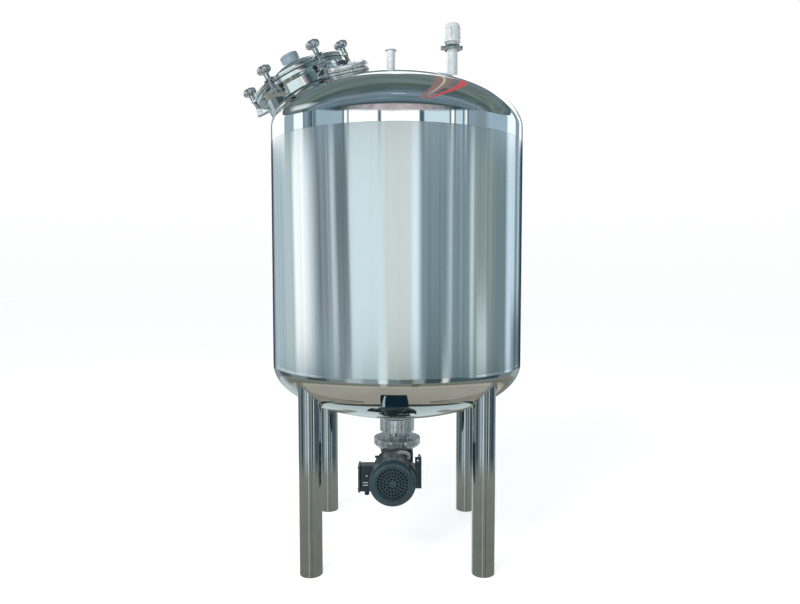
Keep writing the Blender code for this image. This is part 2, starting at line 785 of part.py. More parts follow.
def add_filter():
    """Closed filter housing with a domed top, on a ferrule of its own."""
    face = VENT_JOINT + GAP / 2
    shoulder = face + FERRULE
    body = shoulder + FILTER_BASE
    outline = []
    arcs = 4
    for i in range(arcs + 1):
        a = math.pi / 2 * i / arcs
        outline.append((R_FILTER * math.sin(a), FILTER_TOP - FILTER_DOME * (1 - math.cos(a))))
    outline += [
        (R_FILTER, body + 0.010),
        (R_VENT + 0.004, body),
        (R_VENT, shoulder + 0.003),
        (R_VENT_FERRULE, face + FERRULE * 0.45),
        (R_VENT_FERRULE, face),
        (0.0, face),
    ]
    housing = turned("vent_filter_housing", outline, STEPS_PIPE, "polished_steel", tank, closed=False)
    housing.location = (VENT_X, VENT_Y, 0.0)


def add_outlet():
    """Outlet nozzle under the vessel and the clamp that holds the drive to it."""
    face = OUTLET_JOINT + GAP / 2
    outline = [
        (R_OUTLET, SEAM_BOTTOM - PAST),
        (R_OUTLET, face + FERRULE * 1.6),
        (R_OUTLET_FERRULE, face + FERRULE),
        (R_OUTLET_FERRULE, face),
        (R_OUTLET - OUTLET_WALL, face),
        (R_OUTLET - OUTLET_WALL, SEAM_BOTTOM - PAST),
    ]
    nozzle = turned("outlet_nozzle", outline, STEPS_PIPE + 4, "polished_steel", tank)
    combine(nozzle, "DIFFERENCE", bottom_block)
    inner = R_OUTLET - OUTLET_WALL
    bore = rod_mesh("outlet_bore", inner, (0, 0, face), (0, 0, SEAM_BOTTOM), STEPS_PIPE + 4)
    combine(bottom_head, "DIFFERENCE", add_cutter("outlet_bore", bore, tank))
    high, low = OUTLET_JOINT + OUTLET_CLAMP_HALF, OUTLET_JOINT - OUTLET_CLAMP_HALF
    clamp = turned(
        "outlet_clamp",
        tube_outline(R_OUTLET_CLAMP, R_OUTLET_FERRULE + CLAMP_PLAY, high, low),
        STEPS_PIPE + 4,
        "machined_steel",
        tank,
    )
    ear = block_mesh(
        "outlet_clamp_ear",
        (R_OUTLET_CLAMP - CHAMFER, -OUTLET_EAR_HALF, low + CHAMFER),
        (R_OUTLET_CLAMP + OUTLET_EAR, OUTLET_EAR_HALF, high - CHAMFER),
    )
    combine(clamp, "UNION", add_cutter("outlet_clamp_ear", ear, tank))
    x = R_OUTLET_CLAMP + OUTLET_EAR / 2
    start = (x, -OUTLET_EAR_HALF - GAP, OUTLET_JOINT)
    end = (x, -OUTLET_EAR_HALF - OUTLET_NUT_LENGTH, OUTLET_JOINT)
    nut = rod_mesh("outlet_clamp_nut", R_OUTLET_NUT, start, end, STEPS_NUT)
    add_part("outlet_clamp_nut", nut, "machined_steel", tank)


def add_coupling():
    """Machined housing, neck and flange between the vessel and the gearbox."""
    face = OUTLET_JOINT - GAP / 2
    outline = [
        (0.0, face),
        (R_OUTLET_FERRULE, face),
        (R_OUTLET_FERRULE, HOUSING_HIGH),
        (R_HOUSING, HOUSING_HIGH - GAP),
        (R_HOUSING, HOUSING_GROOVE + GROOVE),
        (R_HOUSING - GROOVE, HOUSING_GROOVE + GROOVE),
        (R_HOUSING - GROOVE, HOUSING_GROOVE),
        (R_HOUSING, HOUSING_GROOVE),
        (R_HOUSING, HOUSING_LOW),
        (0.0, HOUSING_LOW),
    ]
    turned("coupling_housing", outline, STEPS_PIPE + 8, "machined_steel", tank, closed=False)
    high, low = HOUSING_LOW - GAP, FLANGE_TOP + GAP
    outline = [(0.0, high), (R_COUPLING, high), (R_COUPLING, low), (0.0, low)]
    turned("coupling_neck", outline, STEPS_PIPE + 4, "machined_steel", tank, closed=False)
    outline = [
        (0.0, FLANGE_TOP),
        (R_DRIVE_FLANGE, FLANGE_TOP),
        (R_DRIVE_FLANGE, FLANGE_BASE + FLANGE_CHAMFER),
        (R_DRIVE_FLANGE - FLANGE_CHAMFER, FLANGE_BASE),
        (0.0, FLANGE_BASE),
    ]
    turned("drive_flange", outline, STEPS_PIPE + 12, "machined_steel", tank, closed=False)
    z = (HOUSING_LOW + FLANGE_TOP) / 2 + PORT_RISE
    seat = R_COUPLING * math.cos(math.pi / (STEPS_PIPE + 4)) + GAP
    port = rod_mesh("neck_port", R_PORT, (seat, 0, z), (R_COUPLING + 0.02, 0, z), STEPS_NUT)
    port.transform(Matrix.Rotation(PORT_ANGLE, 4, "Z"))
    add_part("neck_port", port, "machined_steel", tank)


def add_gearbox():
    """Gearbox housing with the round adapter that carries the motor, and its breather plug."""
    low = (-GEARBOX_HALF, GEARBOX_FRONT, GEARBOX_LOW)
    high = (GEARBOX_HALF, GEARBOX_BACK, FLANGE_BASE - GAP)
    mesh = block_mesh("gearbox", low, high, bevel=GEARBOX_ROUND)
    gearbox = add_part("gearbox", mesh, "motor_paint", tank)
    adapter = rod_mesh(
        "adapter_form",
        R_ADAPTER,
        (MOTOR_X, MOTOR_BACK + GAP, MOTOR_Z),
        (MOTOR_X, GEARBOX_FRONT + GEARBOX_ROUND, MOTOR_Z),
        STEPS_PIPE,
    )
    trim = block_mesh(
        "adapter_trim",
        (-PAST, MOTOR_BACK, FLANGE_BASE - GAP),
        (PAST, 0.0, FLANGE_BASE + PAST),
    )
    combine(gearbox, "UNION", add_cutter("adapter_form", adapter, tank))
    combine(gearbox, "DIFFERENCE", add_cutter("adapter_trim", trim, tank))
    start = (-GEARBOX_HALF - GAP, PLUG_Y, PLUG_Z)
    end = (-GEARBOX_HALF - PLUG_LENGTH, PLUG_Y, PLUG_Z)
    plug = rod_mesh("breather_plug", R_PLUG, start, end, STEPS_NUT)
    add_part("breather_plug", plug, "black_plastic", tank)


def add_motor():
    """Motor whose shaft points to the back, turned so that its feet face right."""
    axis = Matrix.Translation((MOTOR_X, 0.0, MOTOR_Z)) @ Matrix.Rotation(math.pi / 2, 4, "X")
    motor = add_empty("motor_axis", tank, axis)
    inner = R_COVER - COVER_SHEET
    outline = [
        (0.0, -MOTOR_FRONT),
        (R_MOTOR - CHAMFER, -MOTOR_FRONT),
        (R_MOTOR, -MOTOR_FRONT - CHAMFER),
        (R_MOTOR, -MOTOR_BACK),
        (0.0, -MOTOR_BACK),
    ]
    turned("motor_frame", outline, STEPS_PIPE + 4, "motor_paint", motor, closed=False)
    outline = [
        (0.0, -COVER_FRONT),
        (R_COVER - COVER_EDGE, -COVER_FRONT),
        (R_COVER - COVER_EDGE * 0.3, -COVER_FRONT - COVER_EDGE * 0.3),
        (R_COVER, -COVER_FRONT - COVER_EDGE),
        (R_COVER, -COVER_BACK),
        (R_MOTOR + COVER_SEAT, -COVER_BACK),
        (R_MOTOR + COVER_SEAT, -COVER_BACK + COVER_LIP),
        (inner, -COVER_BACK + COVER_LIP),
        (inner, -COVER_FRONT - COVER_EDGE),
        (R_COVER - COVER_EDGE, -COVER_FRONT - COVER_SHEET),
        (0.0, -COVER_FRONT - COVER_SHEET),
    ]
    turned("motor_fan_cover", outline, STEPS_PIPE + 8, "motor_paint", motor, closed=True)
    add_terminal_box()
    add_motor_feet()
    add_lifting_strap(motor)


def frame_saddle(name):
    """The motor frame's outside, a hair larger, that fits pieces to it."""
    start = (MOTOR_X, MOTOR_FRONT - PAST, MOTOR_Z)
    end = (MOTOR_X, MOTOR_BACK + PAST, MOTOR_Z)
    return add_cutter(name, rod_mesh(name, R_MOTOR + 0.001, start, end, 36), tank)


def add_terminal_box():
    """Box at the left of the motor, just behind the wider fan cover, with its lid and gland."""
    low = (MOTOR_X - BOX_OUT, COVER_BACK + 0.0006, BOX_LOW)
    high = (MOTOR_X - R_MOTOR * 0.75, BOX_BACK, BOX_HIGH)
    box = add_part("terminal_box", block_mesh("terminal_box", low, high), "motor_paint", tank)
    combine(box, "DIFFERENCE", frame_saddle("terminal_box_saddle"))
    lid_low = (low[0] - BOX_LID, low[1] - BOX_LID_EDGE, low[2] - BOX_LID_EDGE)
    lid_high = (low[0] - GAP, high[1] + BOX_LID_EDGE, high[2] + BOX_LID_EDGE)
    lid = block_mesh("terminal_box_lid", lid_low, lid_high, bevel=0.002)
    add_part("terminal_box_lid", lid, "motor_paint", tank)
    x = (low[0] + MOTOR_X - R_MOTOR) / 2
    y = (low[1] + high[1]) / 2
    start = (x, y, BOX_LOW - GAP)
    gland = rod_mesh("cable_gland", R_GLAND, start, (x, y, BOX_LOW - GLAND_LENGTH), STEPS_NUT)
    add_part("cable_gland", gland, "black_plastic", tank)


def add_motor_feet():
    """Foot plate at the right of the motor, standing on edge, with two webs to the frame."""
    low = (FOOT_X - FOOT_THICK, COVER_BACK + 0.004, FOOT_Z - FOOT_HALF)
    high = (FOOT_X, FOOT_BACK, FOOT_Z + FOOT_HALF)
    plate = block_mesh("motor_feet", low, high)
    feet = add_part("motor_feet", plate, "motor_paint", tank)
    for name, z in (("foot_web_low", MOTOR_Z - 0.042), ("foot_web_high", MOTOR_Z + 0.018)):
        web_low = (MOTOR_X + R_MOTOR * 0.6, low[1], z)
        web_high = (FOOT_X - FOOT_THICK / 2, high[1], z + FOOT_THICK)
        web = add_cutter(name, block_mesh(name, web_low, web_high), tank)
        combine(feet, "UNION", web)
    combine(feet, "DIFFERENCE", frame_saddle("feet_saddle"))


def add_lifting_strap(motor):
    """Bent bar over the upper right of the motor frame."""
    curve = bpy.data.curves.new("lifting_strap", "CURVE")
    curve.dimensions = "3D"
    curve.bevel_depth = STRAP_BAR
    curve.bevel_resolution = 1
    curve.use_fill_caps = True
    spline = curve.splines.new("POLY")
    bends = 8
    spline.points.add(bends)
    radius = R_MOTOR + STRAP_BAR + 0.0008
    for i, point in enumerate(spline.points):
        angle = math.radians(33 + 52 * i / bends)
        point.co = (radius * math.cos(angle), radius * math.sin(angle), STRAP_Y, 1.0)
    strap = bpy.data.objects.new("lifting_strap", curve)
    parts.objects.link(strap)
    strap.parent = motor
    curve.materials.append(materials["cast_grey"])


clear_scene()
parts = make_collection("mixing_tank")
cutters = make_collection("cutters")
materials = make_materials()
tank = add_empty("tank_axis", None, Matrix.Translation((TANK_X, 0.0, 0.0)))
top_block, bottom_block = add_vessel_blocks()
top_head, bottom_head = add_vessel()
add_legs()
manway_x = -MANWAY_REACH * math.cos(MANWAY_TURN)
manway_y = -MANWAY_REACH * math.sin(MANWAY_TURN)
manway_frame = tilted_frame(manway_x, manway_y, MANWAY_Z, MANWAY_TILT, MANWAY_TURN)
manway = add_empty("manway_axis", tank, manway_frame)
sight_z = head_height(math.hypot(SIGHT_X, SIGHT_Y)) - SIGHT_SINK
sight_turn = math.atan2(-SIGHT_Y, -SIGHT_X)
sight_frame = tilted_frame(SIGHT_X, SIGHT_Y, sight_z, SIGHT_TILT, sight_turn)
sight = add_empty("sight_axis", tank, sight_frame)
add_manway()
add_sight_glass()
add_inlet_nozzle()
add_vent()
add_outlet()
add_coupling()
add_gearbox()
add_motor()
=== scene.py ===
"""Looks of the upright mixing tank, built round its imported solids.

Metres, +Z up, front towards -Y. The tank's own axis stands at TANK_X. Every finished piece keeps
its object at the origin, with its place in its mesh.
"""

import math
from collections import namedtuple

import bmesh
import bpy
from mathutils import Matrix, Vector


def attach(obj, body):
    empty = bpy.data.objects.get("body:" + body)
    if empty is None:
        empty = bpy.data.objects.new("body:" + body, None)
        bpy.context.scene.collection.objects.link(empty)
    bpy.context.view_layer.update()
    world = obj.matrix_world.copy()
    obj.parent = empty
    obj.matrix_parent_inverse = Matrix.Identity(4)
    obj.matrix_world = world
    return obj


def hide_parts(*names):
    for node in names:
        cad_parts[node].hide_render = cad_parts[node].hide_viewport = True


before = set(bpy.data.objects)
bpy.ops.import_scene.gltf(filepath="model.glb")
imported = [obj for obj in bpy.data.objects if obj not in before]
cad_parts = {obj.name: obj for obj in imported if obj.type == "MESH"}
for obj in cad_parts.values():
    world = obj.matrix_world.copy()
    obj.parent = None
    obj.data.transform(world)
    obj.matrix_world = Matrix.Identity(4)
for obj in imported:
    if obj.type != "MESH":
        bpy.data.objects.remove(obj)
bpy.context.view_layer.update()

# Sizes shared with the solids
TANK_X = 0.0667
R_SHELL = 0.600
WALL = 0.005
SEAM_BOTTOM = 0.906
SEAM_TOP = 1.933
TOP_FLANGE = 0.066
TOP_DEPTH = 0.262
BOTTOM_FLANGE = 0.012
BOTTOM_DEPTH = 0.256
UNDER = 0.8  # height of the frames in which legs and outlet are drawn
LEG_REACH = 0.381
R_LEG = 0.051
MANWAY_REACH = 0.419
MANWAY_Z = 2.1622
MANWAY_TURN = math.radians(6.5)
MANWAY_TILT = math.radians(27.0)
R_NECK = 0.200
R_RIM = 0.235
FLANGE_LOW = 0.0610
FLANGE_HIGH = 0.0797
LID_HIGH = 0.1020
LID_RISE = 0.072
R_PORT_RING = 0.044
PORT_HEIGHT = 0.040
BOLT_FIRST = math.radians(-6.7)
BOLT_CIRCLE = 0.2425
PIVOT_HEIGHT = 0.0480
R_EYE = 0.0130
KNOB_LOW = 0.087
KNOB_HIGH = 0.115
R_KNOB = 0.033
HINGE_ANGLE = math.radians(83.3)
HINGE_REACH = 0.272
HINGE_HEIGHT = 0.092
SIGHT_X = -0.207
SIGHT_Y = -0.300
SIGHT_SINK = 0.010
SIGHT_TILT = math.radians(22.3)
R_SIGHT = 0.090
NOZZLE_X = -0.027
NOZZLE_Y = -0.250
NOZZLE_TOP = 2.318
R_INLET = 0.0190
R_INLET_RIM = 0.02525
VENT_X = 0.268
VENT_Y = 0.020
R_VENT = 0.0265
VENT_JOINT = 2.414
FILTER_TOP = 2.532
R_FILTER = 0.0392
OUTLET_JOINT = 0.624
R_OUTLET = 0.057
R_OUTLET_RIM = 0.070
R_HOUSING = 0.085
R_WAIST = 0.057
R_FLANGE = 0.1145
HOUSING_HIGH = 0.6110
HOUSING_LOW = 0.5476
HOUSING_GROOVE = 0.5870
FLANGE_TOP = 0.5130
FLANGE_BASE = 0.4700
GEARBOX_LOW = 0.336
MOTOR_X = -0.020
MOTOR_Z = 0.392
R_MOTOR = 0.092
R_CORE = 0.088  # the motor's frame between its fins
R_COVER = 0.1065
COVER_BACK = 0.282
COVER_FRONT = 0.360
GRILLE = 0.0745


# ---- places ----------------------------------------------------------------------------------


def shift(x, y, z):
    """A move without a turn."""
    return Matrix.Translation((x, y, z))


def frame_at(x, y, z, tilt, turn):
    """A frame on the top head whose X points uphill and whose Z leans outwards."""
    place = shift(TANK_X + x, y, z)
    return place @ Matrix.Rotation(turn, 4, "Z") @ Matrix.Rotation(-tilt, 4, "Y")


def top_surface(reach):
    """Height of the top head's outside at a distance from the tank's axis."""
    return SEAM_TOP + TOP_FLANGE + TOP_DEPTH * math.sqrt(max(0.0, 1.0 - (reach / R_SHELL) ** 2))


def bottom_surface(reach):
    """Height of the bottom head's outside at a distance from the tank's axis."""
    depth = BOTTOM_DEPTH * math.sqrt(max(0.0, 1.0 - (reach / R_SHELL) ** 2))
    return SEAM_BOTTOM - BOTTOM_FLANGE - depth


TANK = shift(TANK_X, 0.0, 0.0)
MANWAY = frame_at(
    -MANWAY_REACH * math.cos(MANWAY_TURN),
    -MANWAY_REACH * math.sin(MANWAY_TURN),
    MANWAY_Z,
    MANWAY_TILT,
    MANWAY_TURN,
)
SIGHT = frame_at(
    SIGHT_X,
    SIGHT_Y,
    top_surface(math.hypot(SIGHT_X, SIGHT_Y)) - SIGHT_SINK,
    SIGHT_TILT,
    math.atan2(-SIGHT_Y, -SIGHT_X),
)
TO_FRONT = Matrix.Rotation(math.pi / 2, 4, "X")  # lays Z along -Y, to the front
TO_RIGHT = Matrix.Rotation(math.pi / 2, 4, "Y")  # lays Z along X
MOTOR = TANK @ shift(MOTOR_X, 0.0, MOTOR_Z) @ TO_FRONT


# ---- materials -------------------------------------------------------------------------------


def linear(code):
    """A colour written as sRGB hex, as the linear values that a shader takes."""
    out = []
    for i in (0, 2, 4):
        c = int(code[i : i + 2], 16) / 255.0
        out.append(c / 12.92 if c <= 0.04045 else ((c + 0.055) / 1.055) ** 2.4)
    return (*out, 1.0)


MATH = "ShaderNodeMath"
VECTOR = "ShaderNodeVectorMath"
SPAN = "ShaderNodeMapRange"
RAMP = "ShaderNodeValToRGB"
NOISE = "ShaderNodeTexNoise"
MIX = "ShaderNodeMix"
OVER = {"data_type": "RGBA"}  # settings of a mix that lays a colour over another
TIMES = {"data_type": "RGBA", "blend_type": "MULTIPLY"}  # and of one that multiplies them
NOISE_LOW, NOISE_HIGH = 0.3, 0.7  # nearly all noise lies between these values


def add(tree, kind, inputs=None, out=0, stops=None, **settings):
    """Adds a node with its settings, the value or link of each socket and its colour stops."""
    made = tree.nodes.new(kind)
    for key, value in settings.items():
        setattr(made, key, value)
    for key, value in (inputs or {}).items():
        if isinstance(value, bpy.types.NodeSocket):
            tree.links.new(value, made.inputs[key])
        else:
            made.inputs[key].default_value = value
    if stops:
        elements = made.color_ramp.elements
        for i, (place, colour) in enumerate(stops):
            stop = elements[i] if i < 2 else elements.new(place)
            stop.position = place
            if isinstance(colour, str):
                stop.color = linear(colour)
            else:
                stop.color = (colour, colour, colour, 1.0)
    return made if out is None else made.outputs[out]


def finish(name, colours, rough, grain, dents=(), stretch=(1, 1, 1), lathe=None, **sockets):
    """A surface whose grain shows in its colour and gloss, with dents as slight relief.

    Grain is a size in mm, and dents is a size and a depth in mm. A lathe is the frame whose Z
    axis the piece was turned or brushed round: its grain then runs in rings."""
    material = bpy.data.materials.new(name)
    material.use_nodes = True
    tree = material.node_tree
    shader = tree.nodes["Principled BSDF"]
    for key, value in sockets.items():
        shader.inputs[key.replace("_", " ")].default_value = value
    place = add(tree, "ShaderNodeTexCoord", out="Object")
    if lathe is not None:
        inputs = {"Location": lathe.to_translation(), "Rotation": lathe.to_euler()}
        inputs["Vector"] = place
        centred = add(tree, "ShaderNodeMapping", inputs, vector_type="TEXTURE")
        flat = add(tree, VECTOR, {0: centred, 1: (1, 1, 0)}, operation="MULTIPLY")
        reach = add(tree, VECTOR, {0: flat}, "Value", operation="LENGTH")
        height = add(tree, "ShaderNodeSeparateXYZ", {"Vector": centred}, "Z")
        ring = add(tree, MATH, {0: reach, 1: height}, operation="ADD")
        ring = add(tree, MATH, {0: ring, 1: 1000.0 / grain}, operation="MULTIPLY")
        inputs = {"W": ring, "Scale": 1.0, "Detail": 3.0}
        noise = add(tree, NOISE, inputs, noise_dimensions="1D")
        inputs = {0: place, 1: lathe.to_translation()}
        spoke = add(tree, VECTOR, inputs, operation="SUBTRACT")
        axis = lathe.to_3x3() @ Vector((0, 0, 1))
        along = add(tree, VECTOR, {0: axis, 1: spoke}, operation="CROSS_PRODUCT")
        tree.links.new(along, shader.inputs["Tangent"])
    else:
        stretched = add(tree, "ShaderNodeMapping", {"Vector": place, "Scale": stretch})
        inputs = {"Vector": stretched, "Scale": 1000.0 / grain, "Detail": 3.0}
        noise = add(tree, NOISE, inputs)
    stops = [(NOISE_LOW, colours[0]), (NOISE_HIGH, colours[1])]
    colour = add(tree, RAMP, {"Fac": noise}, stops=stops)
    tree.links.new(colour, shader.inputs["Base Color"])
    inputs = {"Value": noise, "From Min": NOISE_LOW, "From Max": NOISE_HIGH}
    inputs |= {"To Min": rough[0], "To Max": rough[1]}
    tree.links.new(add(tree, SPAN, inputs), shader.inputs["Roughness"])
    if dents:
        inputs = {"Vector": place, "Scale": 1000.0 / dents[0], "Detail": 1.0}
        relief = noise if lathe is not None else add(tree, NOISE, inputs)
        inputs = {"Height": relief, "Distance": dents[1] / 1000.0, "Strength": 1.0}
        tree.links.new(add(tree, "ShaderNodeBump", inputs, "Normal"), shader.inputs["Normal"])
    return material


# Mirror-polished 304 sheet: sharp reflections that waver a little from hand polishing.
mirror = finish(
    "mirror_polished_304", ("d3d8d8", "dfe2e2"), (0.005, 0.02), 140.0, (200.0, 0.30), Metallic=1.0
)
# Polished 304 tube: as the sheet, with the finer waver of a small belt.
mirror_tube = finish(
    "polished_304_tube", ("d0d5d5", "dde0e0"), (0.03, 0.07), 60.0, (80.0, 0.04), Metallic=1.0
)
# Pipes of inlet and vent, and the vent's filter, satin 304: pale down the middle, with darker
# flanks.
satin_pipe = finish(
    "satin_304_pipe", ("e6eaeb", "f4f6f7"), (0.12, 0.20), 40.0, (60.0, 0.02), Metallic=0.35
)
# Polished castings and small fittings, as knobs, clamps and lugs: bright, with slightly
# clouded gloss.
mirror_small = finish(
    "polished_304_casting", ("ccd2d4", "e2e5e6"), (0.05, 0.12), 12.0, (15.0, 0.02), Metallic=1.0
)
# Ground and brushed welds: soft, greyish line along each joint.
weld = finish("ground_weld", ("a9afb1", "c9cdce"), (0.22, 0.34), 6.0, (5.0, 0.05), Metallic=1.0)
# Sheet brushed round the vessel with 240 grit: hairlines draw the light out up and down. The
# real ones are 0.1 mm apart; they are drawn at 3 mm, so that they just show.
brushed = finish(
    "brushed_304_sheet",
    ("ced5d6", "d6dbdc"),
    (0.09, 0.12),
    3.0,
    lathe=TANK,
    Metallic=1.0,
    Anisotropic=1.0,
    Anisotropic_Rotation=0.25,
)
# Lathe-turned 304 bar: bright, with rings 3 mm apart in place of 0.2 mm feed marks.
turned_bar = finish(
    "turned_304_bar",
    ("d6dbde", "f4f6f7"),
    (0.06, 0.12),
    3.0,
    (3.0, 0.006),
    lathe=TANK,
    Metallic=0.7,
    Anisotropic=0.3,
    Anisotropic_Rotation=0.25,
)
# Rings of the sight glass: turned like the bar, with its marks drawn 3 mm apart as well.
turned_sight = finish(
    "turned_sight_rings",
    ("d2d7d9", "eef0f1"),
    (0.10, 0.18),
    3.0,
    (3.0, 0.005),
    lathe=SIGHT,
    Metallic=0.75,
    Anisotropic=0.3,
    Anisotropic_Rotation=0.25,
)
# Top of the drive flange, faced on the lathe with a coarse feed: duller than the turned bar, with
# rings drawn 2 mm apart. Its greyer tone is painted shade, so that the face reads as a dark line.
faced_flange_shaded = finish(
    "faced_304_flange_painted_shade",
    ("7d878d", "a3acb1"),
    (0.24, 0.34),
    2.0,
    (2.0, 0.010),
    lathe=TANK,
    Metallic=1.0,
    Anisotropic=0.5,
    Anisotropic_Rotation=0.25,
)
# Semi-gloss dark teal enamel sprayed on castings: soft sheen with a fine orange peel.
enamel = finish(
    "teal_machine_enamel",
    ("1a3037", "26414b"),
    (0.24, 0.38),
    70.0,
    (3.0, 0.03),
    Coat_Weight=0.6,
    Coat_Roughness=0.10,
)
# The same enamel on the connection box, made darker as painted shade for the shade that its front
# lies in.
shaded_box_enamel = finish(
    "teal_box_enamel_painted_shade",
    ("11222a", "1a2f38"),
    (0.26, 0.40),
    70.0,
    (3.0, 0.03),
    Coat_Weight=0.5,
    Coat_Roughness=0.12,
)
# Zinc-plated pressed steel, softly mottled, half matt: pale grey, lightened past the plating's own
# tone as painted light, so that the strap stays bright where it lies in shade.
zinc = finish(
    "zinc_plate_painted_light", ("dfe2e8", "f4f5f7"), (0.34, 0.48), 8.0, (4.0, 0.04), Metallic=0.1
)
# Bead-blasted stainless of the lid's port: even, pale blue-grey, without sharp highlights.
blasted = finish(
    "bead_blasted_304", ("9db0bb", "b6c6cf"), (0.42, 0.54), 1.5, (1.2, 0.05), Metallic=0.6
)
# Toughened borosilicate over the unlit inside: nearly black, with clear reflections.
glass = finish(
    "sight_borosilicate", ("1b2528", "2f3d43"), (0.02, 0.04), 110.0, IOR=1.47, Coat_Weight=0.4
)
# White platinum silicone: matt, with light handling marks.
silicone = finish("white_silicone_gasket", ("cfd0c9", "ecece6"), (0.48, 0.66), 25.0)
# Moulded black nylon of gland and plug: dull, with a fine pebble.
nylon = finish("moulded_black_nylon", ("14181a", "24292c"), (0.40, 0.56), 2.0, (2.0, 0.06))
# Unlit inside behind the fan grille and in drilled holes.
unlit = finish("unlit_inside", ("040607", "0a0e10"), (0.75, 0.9), 12.0)


# ---- shapes ----------------------------------------------------------------------------------


def mesh_of(bm, name="form"):
    """A mesh with the form of a bmesh, which it uses up."""
    mesh = bpy.data.meshes.new(name)
    bm.to_mesh(mesh)
    bm.free()
    return mesh


def new_object(name, data):
    """An object that is in the scene."""
    obj = bpy.data.objects.new(name, data)
    bpy.context.scene.collection.objects.link(obj)
    return obj


def piece(name, bm, material, body="root", nodes=(), place=None, sharp=32):
    """Makes a finished object of a bmesh and sets it on its body."""
    if place is not None:
        bmesh.ops.transform(bm, matrix=place, verts=bm.verts[:])
    mesh = mesh_of(bm, name)
    mesh.materials.append(material)
    mesh.shade_smooth()
    mesh.set_sharp_from_angle(angle=math.radians(sharp))
    obj = new_object(name, mesh)
    flat = obj.modifiers.new("flat_faces", "WEIGHTED_NORMAL")  # keeps wide faces flat at bevels
    flat.weight = 90
    flat.keep_sharp = True
    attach(obj, body)
    if nodes:
        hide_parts(*nodes)
    return obj


def soften(points, arcs=3, closed=True):
    """Turns each corner given as (r, z, rounding) into a short curve."""
    out = []
    last = len(points) - 1
    for i, point in enumerate(points):
        b = Vector(point[:2])
        if len(point) < 3 or (not closed and i in (0, last)):
            out.append(tuple(b))
            continue
        u = Vector(points[i - 1][:2]) - b
        v = Vector(points[(i + 1) % len(points)][:2]) - b
        cut = min(point[2], 0.48 * u.length, 0.48 * v.length)
        start, end = b + u.normalized() * cut, b + v.normalized() * cut
        for k in range(arcs + 1):
            t = k / arcs
            out.append(tuple(start * (1 - t) ** 2 + b * 2 * t * (1 - t) + end * t * t))
    return out


def spun(points, steps=96, closed=True):
    """Turns a half outline round Z."""
    bm = bmesh.new()
    verts = [bm.verts.new((r, 0.0, z)) for r, z in points]
    edges = [bm.edges.new(pair) for pair in zip(verts, verts[1:])]
    if closed:
        edges.append(bm.edges.new((verts[-1], verts[0])))
    bmesh.ops.spin(
        bm,
        geom=verts + edges,
        cent=(0, 0, 0),
        axis=(0, 0, 1),
        angle=2 * math.pi,
        steps=steps,
        use_merge=True,
    )
    bmesh.ops.remove_doubles(bm, verts=bm.verts[:], dist=0.000002)
    bmesh.ops.recalc_face_normals(bm, faces=bm.faces[:])
    return bm


def block(low, high, bevel=0.002, segments=2):
    """A box between two corners, with softened edges."""
    bm = bmesh.new()
    size = [b - a for a, b in zip(low, high)]
    middle = [(a + b) / 2 for a, b in zip(low, high)]
    matrix = Matrix.Translation(middle) @ Matrix.Diagonal((*size, 1.0))
    bmesh.ops.create_cube(bm, size=1.0, matrix=matrix)
    if bevel:
        soften_edges(bm, bm.edges[:], bevel, segments)
    return bm


def soften_edges(bm, edges, width, segments=2):
    """Rounds edges by a width."""
    bmesh.ops.bevel(
        bm,
        geom=edges,
        offset=width,
        segments=segments,
        profile=0.5,
        affect="EDGES",
        material=-1,
        clamp_overlap=True,
    )


def soften_corners(bm, width, segments):
    """Rounds only the edges at which two faces meet steeply."""
    steep = [e for e in bm.edges if e.calc_face_angle(0.0) > 1.0]
    soften_edges(bm, steep, width, segments)


def ring_of(bm, points):
    """A closed ring of edges through points."""
    verts = [bm.verts.new(point) for point in points]
    return [bm.edges.new(pair) for pair in zip(verts, verts[1:] + verts[:1])]


def bar(radius, start, end, steps=32, bevel=0.0, radius_end=None):
    """A round bar between two points, with softened rims."""
    start, end = Vector(start), Vector(end)
    along = end - start
    turn = Vector((0, 0, 1)).rotation_difference(along).to_matrix().to_4x4()
    bm = bmesh.new()
    bmesh.ops.create_cone(
        bm,
        cap_ends=True,
        segments=steps,
        radius1=radius,
        radius2=radius if radius_end is None else radius_end,
        depth=along.length,
        matrix=Matrix.Translation((start + end) / 2) @ turn,
    )
    if bevel:
        rims = [e for f in bm.faces if len(f.verts) > 4 or steps == 4 for e in f.edges]
        soften_edges(bm, list(set(rims)), bevel, 2)
    return bm


def thicken(bm, faces, vec):
    """Makes flat faces into a plate that reaches by a vector."""
    raised = bmesh.ops.extrude_face_region(bm, geom=faces)
    verts = [v for v in raised["geom"] if isinstance(v, bmesh.types.BMVert)]
    bmesh.ops.translate(bm, verts=verts, vec=vec)
    bmesh.ops.recalc_face_normals(bm, faces=bm.faces[:])


def plate(corners, low, high, bevel=0.0012):
    """A flat plate with the given outline in XY, from one height to another."""
    bm = bmesh.new()
    face = bm.faces.new([bm.verts.new((x, y, low)) for x, y in corners])
    thicken(bm, [face], (0, 0, high - low))
    rims = [e for e in bm.edges if abs(e.verts[0].co.z - e.verts[1].co.z) < 1e-7]
    soften_edges(bm, rims, bevel, 2)
    return bm


def gather(*parts):
    """Several closed forms as one mesh."""
    out = bmesh.new()
    for bm in parts:
        mesh = mesh_of(bm)
        out.from_mesh(mesh)
        bpy.data.meshes.remove(mesh)
    return out


def around(bm, angles, axis="Z"):
    """Copies of a form turned about an axis, as one mesh."""
    mesh = mesh_of(bm)
    out = bmesh.new()
    for angle in angles:
        turned = mesh.copy()
        turned.transform(Matrix.Rotation(angle, 4, axis))
        out.from_mesh(turned)
        bpy.data.meshes.remove(turned)
    bpy.data.meshes.remove(mesh)
    return out


def moved(bm, matrix):
    """The same form, after its move."""
    bmesh.ops.transform(bm, matrix=matrix, verts=bm.verts[:])
    return bm


def screw(radius, height, place):
    """A socket-head screw standing on Z."""
    outline = [
        (0.0, 0.0),
        (radius, 0.0),
        (radius, height, radius * 0.3),
        (radius * 0.55, height),
        (radius * 0.5, height * 0.45),
        (0.0, height * 0.45),
    ]
    return moved(spun(soften(outline, 2, False), 16, False), place)


SURFACE = -1.0  # a height in an outline that stands for the head's own surface


